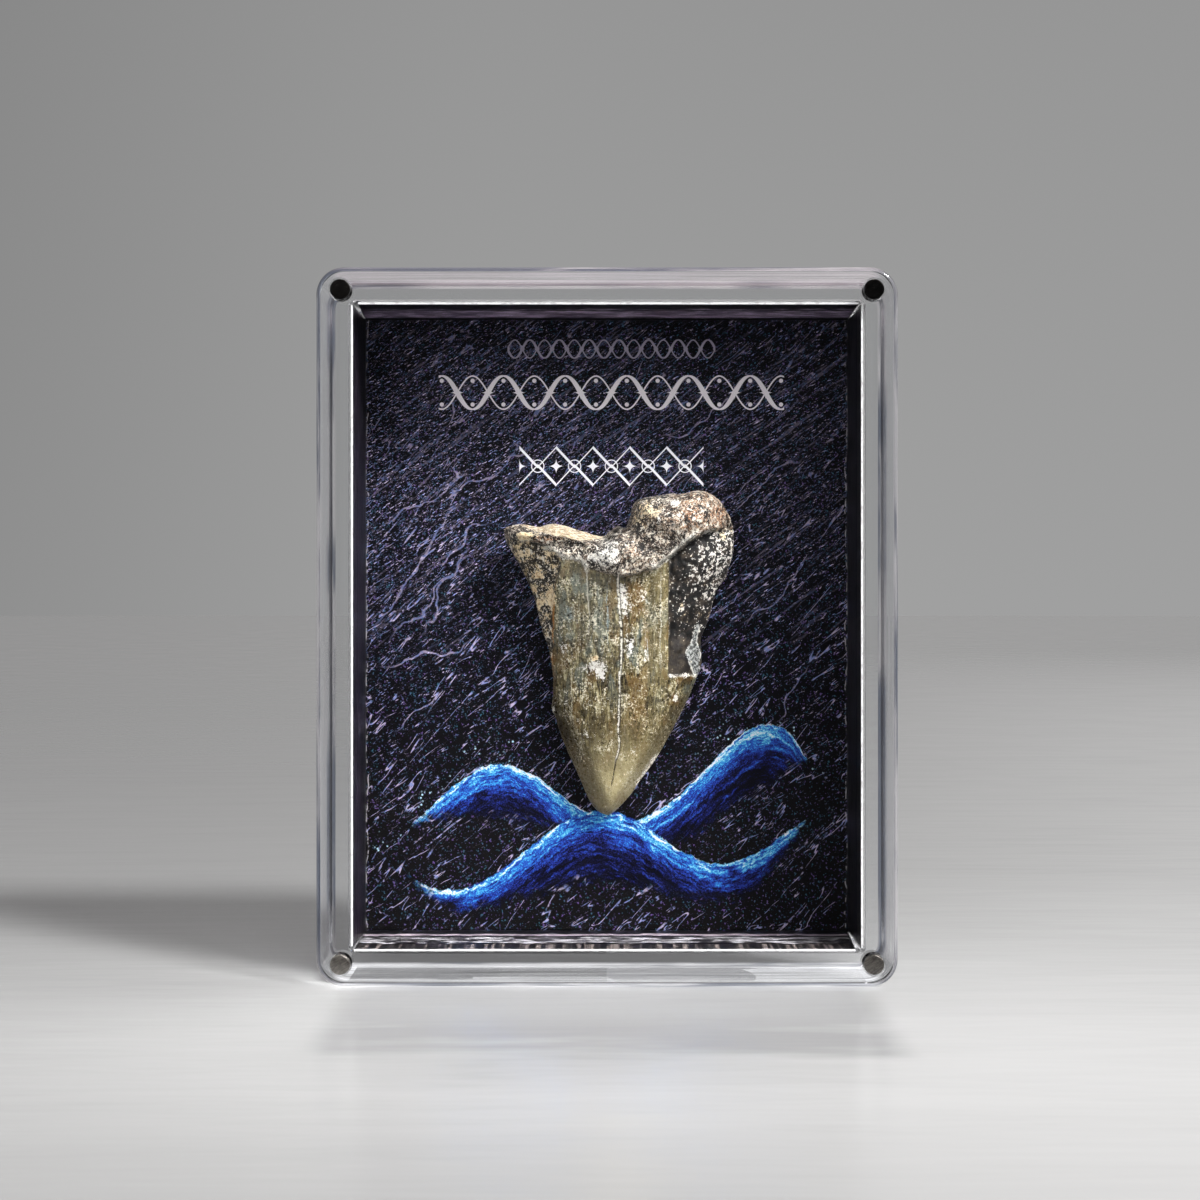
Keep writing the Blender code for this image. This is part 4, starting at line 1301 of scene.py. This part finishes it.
def frontDetail(u, w, points, rim, lines, parts, say):
    # small relief along the normal: rough root, striated enamel, pitted break, crack grooves and crust
    root, crown, broken, strip = parts
    rough = roughNoise(points, 3.6, 51, 4)
    fine = roughNoise(points, 1.1, 55, 2)
    striped = roughNoise(points * (1, 1, 0.16), 0.8, 57, 2)
    smooth = stepUp(-0.2, 0.6, lines["window"])
    facet = stepUp(-0.1, 0.3, lines["facet"])
    broadRoot, fineRoot = say["root"]
    broadBreak, fineBreak = say["break"]
    enamel = say["enamel"]
    height = root * (1 - 0.6 * facet) * (broadRoot * rough + fineRoot * fine)
    height += (strip + broken * (1 - 0.85 * smooth)) * (broadBreak * rough + fineBreak * fine)
    height += crown * (enamel["stripes"] * striped + enamel["broad"] * rough + enamel["fine"] * fine)
    height += facet * say["facet"] * roughNoise(points * (0.22, 1, 1), 0.7, 61, 2)
    height -= (root + 0.8 * broken + strip) * pits(u, w, *say["pores"])
    height -= crown * pits(u, w, *say["nicks"])
    opening = 0.2 * stepUp(6.0, 20.0, w) + 0.1
    reach = stepUp(5.5, 9.0, w) * stepUp(51.5, 49.5, w)
    height -= say["crack"] * reach * np.exp(-((lines["crack"] / opening) ** 2))
    height -= say["sideCrack"] * crown * np.exp(-((lines["sideCrack"] / say["sideCrackHalf"]) ** 2))
    height += say["crust"] * stepUp(0.6, 0.1, lines["crust"] + 0.9 * fine) * np.clip(0.2 + 1.6 * fine, 0, 1)
    height += say["chipLip"] * stepUp(-0.15, 0.1, lines["chip"]) * stepUp(0.9, 0.2, lines["chip"])
    flakes = mounds(u, w, patches["cream"]) + mounds(u, w, patches["white"])
    height += say["flakes"] * (1 - crown) * stepUp(0.55, 0.9, flakes + 0.6 * fine)
    return height * (0.15 + 0.85 * rim)


def backDetail(u, w, points, backLine, say):
    # the back is smoother: a rough, pitted root over faintly striped enamel
    root = stepUp(-0.3, 0.5, backLine)
    height = say["backRoot"] * root * roughNoise(points, 3.0, 71, 4)
    height += say["backEnamel"] * roughNoise(points * (1, 1, 0.2), 0.9, 73, 2)
    height -= root * pits(u, w, *say["backPores"])
    return np.minimum(height, say["backMost"])


def toothMesh(say, marks, finish):
    # both height fields joined at the flanks, moved along their normals by the small relief
    u, w, rim, lines, parts, front, back = toothGrids(say, marks)
    rows, columns = u.shape
    # point numbers: one tip, the front's rows, then the back's rows without the shared edges
    frontIds = 1 + (np.arange(rows)[:, None] - 1) * columns + np.arange(columns)[None, :]
    frontIds[0] = 0
    backIds = frontIds.copy()
    inner = (rows - 2, columns - 2)
    backIds[1:-1, 1:-1] = 1 + (rows - 1) * columns + np.arange(inner[0] * inner[1]).reshape(inner)
    points = np.concatenate([front[:1, 0], front[1:].reshape(-1, 3), back[1:-1, 1:-1].reshape(-1, 3)])

    def gridFaces(ids, flip):
        # quads, and triangles round the tip
        quads = np.stack([ids[1:-1, :-1], ids[1:-1, 1:], ids[2:, 1:], ids[2:, :-1]], axis=-1).reshape(-1, 4)
        triangles = np.stack([ids[0, :-1], ids[1, 1:], ids[1, :-1]], axis=-1)
        return (quads[:, ::-1], triangles[:, ::-1]) if flip else (quads, triangles)

    frontFaces, backFaces = gridFaces(frontIds, False), gridFaces(backIds, True)
    quads = np.concatenate([frontFaces[0], backFaces[0]])
    triangles = np.concatenate([frontFaces[1], backFaces[1]])
    normals = surfaceNormals(points, quads, triangles)

    def perPoint(frontValue, backValue):
        # one value for each point; the shared edges keep the front's
        return np.concatenate([frontValue[:1, 0], frontValue[1:].ravel(), backValue[1:-1, 1:-1].ravel()])

    share, more = marks["backEnamelTop"]
    backLine = w - heightAlong(marks["enamelTop"], u) * share - more
    height = perPoint(
        frontDetail(u, w, front, rim, lines, parts, grit), backDetail(u, w, back, backLine, grit)
    )
    height[0] = 0
    points = points + normals * height[:, None]
    points[:, 1] = np.minimum(points[:, 1], say["backContact"] + say["backSlack"])

    faces = [(quads, 0, True), (triangles, 0, True)]
    piece = newPiece("fossilTooth", points, faces, [finish], "tooth")
    # the back has a root, and none of the front's other marks
    far = np.full_like(u, marks["far"])
    onBack = {"root": backLine, "crack": far, "sideCrack": far, "crust": far}
    values = {name: perPoint(value, onBack.get(name, -far)) for name, value in lines.items()}
    for name, spots in patches.items():
        here = mounds(u, w, spots)
        values[name] = perPoint(here, here[:, ::-1] * 0.6)
    for name, value in values.items():
        layer = piece.data.attributes.new(name, "FLOAT", "POINT")
        layer.data.foreach_set("value", value.astype(np.float32))
    return piece


class ToothFinish(Finish):
    # the fossil's finish, with the noises and marks that its parts share
    def __init__(self):
        super().__init__("fossilEnamel", Specular_IOR_Level=0.5)
        self.mark = {
            name: self.node("Attribute", {"attribute_name": name}, [], "Fac")
            for name in (
                "root", "strip", "broken", "facet", "window", "chip", "crack", "sideCrack", "crust", *patches,
            )
        }
        self.u, self.w = self.x - tooth["tip"][0], self.z - tooth["tip"][1]
        self.broad = self.noise(5.0, 3, 0.6).spread(2.6)
        self.medium = self.noise(1.7, 4, 0.65).spread(2.8)
        self.fine = self.noise(0.55, 4, 0.7).spread(3.0)
        self.dust = self.noise(0.26, 2, 0.6).spread(3.0)
        self.coarse = self.noise(0.75, 2, 0.55, self.moved((0, 7, 3))).spread(3.2)
        self.fibres = self.noise(0.3, 3, 0.65, self.moved(stretch=(1, 1, 8))).spread(3.0)
        self.drawn = self.noise(0.9, 3, 0.6, self.moved((3, 0, 0), stretch=(1, 1, 5)), 0.6).spread(2.8)
        self.jitter = (self.medium - 0.5) * 0.5 + (self.fine - 0.5) * 0.6 + (self.dust - 0.5) * 0.4


# scratches along the crown, and at u 10.7 and 9.5 two pale painted highlights on the fold: u, lean, lower and
# upper end, colour
scratchesAndPaintedHighlights = [
    (10.7, 0.0, 31.0, 49.0, (232, 228, 212)), (9.5, 0.01, 34.0, 47.0, (214, 206, 178)),
    (7.9, -0.06, 33.0, 38.0, (226, 232, 232)), (-0.2, -0.03, 36.0, 48.0, (168, 184, 186)),
    (8.4, 0.1, 21.0, 31.0, (30, 25, 16)), (-5.6, 0.05, 32.0, 42.0, (34, 29, 20)),
    (-7.6, 0.02, 20.0, 30.0, (196, 190, 168)), (9.2, -0.3, 21.5, 27.0, (34, 27, 16)),
]


def enamelColor(finish):
    # streaked olive, paler to the tip, with painted highlights on the fold at the right and painted light on
    # the upper left, greyer and mottled to the root
    u, w, mark, broad, medium, fine = (
        finish.u, finish.w, finish.mark, finish.broad, finish.medium, finish.fine
    )
    tinted = finish.noise(3.2, 3, 0.6, finish.moved((11, 0, 5), stretch=(1, 1, 2.2))).spread(2.8)
    streaks = finish.fibres * 0.3 + finish.drawn * 0.28 + broad * 0.2 + medium * 0.12 + fine * 0.1
    olive = finish.ramp(
        streaks.spread(1.25) - 0.03,
        (0.18, (27, 22, 14)), (0.37, (72, 62, 39)), (0.5, (110, 99, 65)), (0.62, (148, 136, 95)),
        (0.8, (222, 212, 176)),
    )
    tip, upper = w.rise(16.0, 4.0), w.rise(28.0, 38.0)
    plain = finish.mix(broad, (98, 86, 56), (138, 124, 86))
    plain = finish.mix(w.rise(20.0, 7.0), plain, finish.mix(broad, (162, 148, 106), (214, 200, 154)))
    flecked = fine * 0.45 + finish.dust * 0.35 + medium * 0.2
    crumbs = (flecked + (broad - 0.5) * 0.3 + upper * 0.03).rise(0.69, 0.76) * (0.95 - tip * 0.5)
    soot = (flecked - (broad - 0.5) * 0.25 - upper * 0.05).rise(0.29, 0.21) * (0.9 - tip * 0.5)
    # painted shade: the lower flanks are painted darker, as if the rounded crown turned away from the light
    paintedFlankShade = (u + w * 0.5).rise(4.2, 0.6).most((u - w * 0.66).rise(-2.6, -0.2) * 0.8)
    enamel = finish.coats(
        olive,
        (tip * 0.7, (224, 208, 160)),
        (tinted.rise(0.64, 0.82) * w.rise(18.0, 36.0) * 0.55, (122, 136, 130)),
        (tinted.rise(0.42, 0.26) * 0.45, (132, 98, 46)),
        # painted light: the upper left of the crown is painted lighter, as if lit from there
        (w.rise(24.0, 44.0) * u.rise(6.0, -2.0) * 0.25, (168, 166, 146)),
        (w.rise(27.0, 15.0) * (u.rise(-6.0, 1.0) * 0.35 + 0.35), plain),
        # painted highlight on the fold at the right
        (within(u, 6.9, 12.2, 0.4) * w.rise(22.0, 34.0) * 0.4, (164, 150, 108)),
        ((mark["amber"] + finish.jitter).rise(0.2, 0.9) * 0.6, (126, 90, 40)),
        ((mark["blue"] + finish.jitter).rise(0.5, 1.0) * 0.65, (144, 162, 162)),
        ((mark["dark"] + finish.jitter).rise(0.4, 0.75) * 0.75, (36, 32, 25)),
        (crumbs, (240, 233, 212)),
        (soot, (22, 19, 14)),
        # painted shade on the lower flanks
        (w.rise(36.0, 20.0) * paintedFlankShade * 0.6, (40, 31, 19)),
    )
    # scratches, and the painted highlights on the fold
    for at, lean, low, high, tone in scratchesAndPaintedHighlights:
        line = abs(u - at - (w - (low + high) / 2) * lean + (finish.drawn - 0.5) * 0.5).rise(0.16, 0.04)
        line = line * within(w, low, high, 1.5) * finish.dust.rise(0.25, 0.5)
        enamel = finish.mix(line * 0.75, enamel, tone)
    return enamel


def rootColor(finish):
    # brown bone broken up by black pores, amber stains and curled white crust, browner on the right lobe
    broad, medium, fine, dust = finish.broad, finish.medium, finish.fine, finish.dust
    bone = finish.ramp(
        medium * 0.32 + fine * 0.38 + dust * 0.26 + broad * 0.22 - 0.15,
        (0.33, (20, 16, 13)), (0.48, (66, 48, 35)), (0.58, (108, 82, 58)), (0.69, (180, 158, 128)),
        (0.8, (253, 247, 234)),
    )
    curls = abs(finish.noise(1.3, 4, 0.65, finish.moved((5, 2, 9)), 1.5) - 0.5)
    return finish.coats(
        bone,
        (
            finish.u.rise(11.0, 17.0) * finish.w.rise(57.0, 61.0) * 0.65,
            finish.mix((medium * 0.5 + fine * 0.5).rise(0.3, 0.75), (46, 30, 19), (176, 130, 90)),
        ),
        (
            (finish.mark["amber"] + finish.jitter).rise(0.25, 0.8) * 0.8,
            finish.mix(fine.rise(0.25, 0.75), (74, 38, 14), (178, 112, 48)),
        ),
        ((medium * 0.3 + fine * 0.4 + dust * 0.3).rise(0.44, 0.37), (16, 14, 14)),
        (curls.rise(0.035, 0.01) * (medium * 0.5 + dust * 0.5).rise(0.42, 0.6) * 0.9, (226, 218, 204)),
    )


def breakColor(finish):
    # near black with pale flecks, a smooth brown window and a grey glassy chip, with a painted highlight
    # along the chip's edge
    mark, medium, fine, dust = finish.mark, finish.medium, finish.fine, finish.dust
    spotted = mark["flecks"] * 0.16 + finish.coarse * 0.55 + dust * 0.3 + medium * 0.15
    spotted = spotted + (finish.u - 18.5) * 0.014 + (finish.w - 47.0) * 0.004
    paintedGlint = abs(mark["chip"] + (fine - 0.5) * 0.12).rise(0.2, 0.05)
    return finish.coats(
        finish.mix(medium.rise(0.3, 1.0), (14, 12, 11), (70, 58, 46)),
        (spotted.rise(0.76, 0.82), (244, 238, 228)),
        (mark["window"].rise(-0.2, 0.5), finish.mix(medium.rise(0.2, 0.9), (38, 32, 27), (74, 64, 52))),
        (mark["chip"].rise(-0.05, 0.1), finish.mix(fine.rise(0.3, 0.8), (52, 53, 51), (188, 190, 186))),
        (paintedGlint * (medium * 0.6 + dust * 0.4).rise(0.4, 0.55) * 0.9, (230, 228, 220)),
    )


def stripColor(finish):
    # the bare strip beside the enamel: dark, with cream crumbs
    medium, fine, dust = finish.medium, finish.fine, finish.dust
    return finish.coats(
        finish.mix(medium.rise(0.2, 0.9), (22, 19, 17), (84, 72, 54)),
        ((medium * 0.5 + fine * 0.3 + dust * 0.2).rise(0.58, 0.68), (230, 206, 160)),
    )


def facetColor(finish):
    # the split face on the left lobe: tan, with a long grain
    grain = finish.noise(0.3, 3, 0.6, finish.moved(turn=-6, stretch=(7, 1, 1))).spread(2.4)
    return finish.ramp(
        grain, (0.2, (70, 50, 32)), (0.36, (160, 128, 90)), (0.52, (206, 184, 146)), (0.8, (246, 236, 214))
    )


def crackCoats(finish):
    # the long pale crack, beaded and with painted shade along its sides, runs on as a dark one near the tip
    mark, w, medium, fine, dust = finish.mark, finish.w, finish.medium, finish.fine, finish.dust
    wander = (fine - 0.5) * 0.16 + (medium - 0.5) * 0.14
    off = abs(mark["crack"] + wander)
    upper = w.rise(10.6, 12.5) * w.rise(51.0, 50.2)
    half = finish.node("MapRange", {}, [w, 12.0, 36.0, 0.05, 0.15])
    half = half + (fine - 0.5) * 0.18 + (medium - 0.5) * 0.2
    whole = (dust * 0.4 + fine * 0.6).rise(0.3, 0.45)
    side = abs(mark["sideCrack"] + wander).rise(0.2, 0.06) * w.rise(34.0, 42.0) * medium.rise(0.2, 0.45)
    return [
        # painted shade beside the crack
        ((off - half).rise(0.34, 0.1) * upper * 0.7, (40, 35, 26)),
        ((off - half).rise(0.1, -0.05) * upper * whole, (246, 240, 226)),
        (off.rise(0.16, 0.06) * w.rise(6.3, 7.0) * w.rise(12.8, 12.0) * 0.85, (40, 33, 22)),
        (side * 0.9, (214, 208, 192)),
    ]


def toothFinish():
    # olive enamel under a rough brown root, with pale crust, black breaks and amber edges
    finish = ToothFinish()
    u, w, mark, jitter = finish.u, finish.w, finish.mark, finish.jitter
    medium, fine, dust, coarse = finish.medium, finish.fine, finish.dust, finish.coarse
    loose = mark["broken"].rise(0.0, 0.3)
    smooth = mark["window"].rise(-0.2, 0.2).most(mark["chip"].rise(-0.2, 0.0))
    rough = mark["root"].rise(-0.1, 0.1).most(mark["strip"].rise(0.0, 0.3))
    rough = rough.most(mark["broken"].rise(0.0, 0.2))

    # amber where the enamel ends, and along both edges of the tip
    edge = abs(mark["strip"] - 0.05).rise(0.3, 0.12) * w.rise(50.0, 44.0) * finish.drawn.rise(0.3, 0.6)
    # grains, patches and lines of crust
    grains = (fine * 0.4 + dust * 0.45 + medium * 0.15).rise(0.66, 0.73).most(coarse.rise(0.8, 0.86))
    grains = grains * mark["broken"].rise(0.3, 0.0) * rough * 0.9
    scatter = jitter * 1.3 + (coarse - 0.5 + (u - 20.0) * 0.03) * loose * 1.2
    white = (mark["white"] + scatter - loose * 0.5).rise(0.58, 0.7) * (1 - smooth)
    pale = fine * 0.6 + dust * 0.4
    thinner = w.rise(31.0, 30.0) * u.rise(12.0, 12.6) * 0.2
    crust = (mark["crust"] + thinner + jitter * 1.5).rise(0.55, 0.4) * pale.rise(0.36, 0.5)
    finish.feed("Base Color", finish.coats(
        enamelColor(finish),
        ((mark["broken"] + (dust - 0.5) * 0.1).rise(-0.05, 0.1), breakColor(finish)),
        ((mark["strip"] + (fine - 0.5) * 0.2).rise(-0.05, 0.12), stripColor(finish)),
        ((mark["root"] + jitter * 0.5).rise(-0.12, 0.1), rootColor(finish)),
        (mark["facet"].rise(-0.1, 0.1), facetColor(finish)),
        (edge * 0.8, (186, 122, 44)),
        (grains * (1 - smooth * 0.9), (240, 232, 216)),
        (white, finish.mix(pale.rise(0.2, 0.6), (176, 166, 150), (250, 246, 238))),
        (
            (mark["cream"] + jitter * 1.2).rise(0.52, 0.66),
            finish.mix(pale.rise(0.2, 0.65), (190, 148, 92), (255, 236, 198)),
        ),
        (crust, finish.mix(pale.rise(0.2, 0.5), (186, 156, 114), (255, 250, 238))),
        *crackCoats(finish),
    ))
    finish.feed("Roughness", rough * 0.25 + 0.3 + (fine - 0.5) * 0.16 + white * 0.12)
    wear = finish.bump(pale, 0.00022, 0.5)
    finish.feed("Normal", finish.bump(finish.fibres, 0.00006, 0.4, wear))
    return finish


toothPiece = toothMesh(tooth, relief, toothFinish())
print("tooth is made:", len(toothPiece.data.polygons), "faces")


# the floor, the sky and the lamps
stage = {
    "reach": 9000.0,        # mm
    "rings": 60,
    "sides": 96,
    "key": {"from": (0.66, -0.53, 0.76), "spread": 12.0, "strength": 4.5},
    "fill": {"from": (-0.5, -0.85, 0.42), "size": 0.4, "watts": 1.3},
    "top": {"from": (-0.1, 0.3, 1.3), "size": 0.9, "watts": 1.1},
}


def makeFloor(say):
    # a disc as rings at growing distances, with one point in the middle
    radii = np.geomspace(20, say["reach"], say["rings"])
    a = np.linspace(0, 2 * math.pi, say["sides"], endpoint=False)
    ringPoints = np.stack([
        radii[:, None] * np.cos(a), radii[:, None] * np.sin(a), 0 * radii[:, None] + 0 * a
    ], axis=-1).reshape(-1, 3)
    points = np.concatenate([[(0, 0, 0)], ringPoints]) * mm
    first = 1 + np.arange(say["sides"])
    fan = np.stack([0 * first, first, np.roll(first, -1)], axis=-1)
    quads = quadsBetween(say["rings"], say["sides"], True, 1)[:, ::-1]
    mesh = bpy.data.meshes.new("floor")
    mesh.from_pydata(points.tolist(), [], fan.tolist() + quads.tolist())
    finish = Finish("paleFloor", Specular_IOR_Level=0.22)
    x, y = finish.x, finish.y
    away = length(x * 0.45, y + 70)
    # painted light: the floor is painted lightest a little in front of the case and darker with distance, a
    # painted pool of light
    tone = finish.ramp(
        away / 1000,
        (0.0, (195, 195, 194)), (0.03, (208, 208, 207)), (0.068, (192, 192, 191)), (0.11, (178, 178, 177)),
        (0.22, (156, 156, 155)), (0.5, (146, 146, 145)), (1.0, (142, 142, 141)),
    )
    # painted shade to the left and painted light to the right, a darker painted reflection where the case is
    # mirrored, and painted dark on the near side when the object itself mirrors it
    side = x / (y + 420).most(60)
    swells = finish.noise(1.0, 3, 0.5, finish.moved(stretch=(70, 16, 1)))
    paintedCaseReflection = within(x, -50, 50, 4) * (y + swells.spread(2.4) * 40).rise(-60, -34)
    shine = finish.node("LightPath", {}, [], "Glossy Depth").least(1.0)
    finish.feed("Base Color", finish.coats(
        tone,
        (side.rise(0.05, -0.3) * 0.2, (110, 110, 110)),
        (side.rise(0.0, 0.35) * y.rise(2600, 400) * 0.3, (235, 235, 234)),
        (paintedCaseReflection * 0.6, (156, 156, 157)),
        (shine * y.rise(-15, -42), (18, 18, 20)),
    ))
    finish.feed("Roughness", finish.noise(60, 2) * 0.12 + 0.16)
    finish.feed("Normal", finish.bump(swells, 0.0006, 0.6))
    mesh.materials.append(finish.material)
    floor = bpy.data.objects.new("floor", mesh)
    bpy.context.scene.collection.objects.link(floor)


def makeWorld():
    # a grey sky that is darker at the left and at the sides, with a dark room on the near side
    world = bpy.data.worlds.new("studio")
    bpy.context.scene.world = world
    world.use_nodes = True
    sky = Nodes(world.node_tree)
    direction = sky.node("TexCoord", {}, [], "Generated")
    x, y, z = (sky.node("SeparateXYZ", {}, [direction], k) for k in range(3))
    tone = sky.ramp(
        z * 0.5 + 0.5,
        (0.0, (170, 170, 170)), (0.5, (160, 160, 160)), (0.65, (150, 150, 150)), (0.8, (150, 148, 149)),
        (1.0, (216, 210, 213)),
    )
    seen = sky.coats(
        tone,
        (x.rise(-0.02, -0.42) * 0.4, (96, 96, 96)),
        (y.rise(0.85, 0.55) * z.rise(0.75, 0.45) * 0.75, (60, 60, 62)),
        (y.rise(-0.3, -0.75) * z.rise(0.75, 0.5), (34, 34, 36)),
    )
    background = world.node_tree.nodes["Background"]
    world.node_tree.links.new(seen.socket, background.inputs["Color"])
    background.inputs["Strength"].default_value = 1.0


def hangLamp(name, lamp, place, target):
    # at its place in metres, aimed at the target
    holder = bpy.data.objects.new(name, lamp)
    holder.location = place
    holder.rotation_euler = (Vector(target) - holder.location).to_track_quat("-Z", "Y").to_euler()
    bpy.context.scene.collection.objects.link(holder)


def makeSun(name, say):
    # one hard key from the upper right
    lamp = bpy.data.lights.new(name, "SUN")
    lamp.angle = math.radians(say["spread"])
    lamp.energy = say["strength"]
    hangLamp(name, lamp, say["from"], (0, 0, 0))


def makeLamp(name, say):
    # a round soft lamp
    lamp = bpy.data.lights.new(name, "AREA")
    lamp.shape = "DISK"
    lamp.size = say["size"]
    lamp.energy = say["watts"]
    hangLamp(name, lamp, say["from"], (0, 0, middleZ * mm))


makeFloor(stage)
makeWorld()
makeSun("key", stage["key"])
for name in ("fill", "top"):
    makeLamp(name, stage[name])
bpy.context.scene.view_settings.view_transform = "Standard"
print("floor, sky and lamps are set")
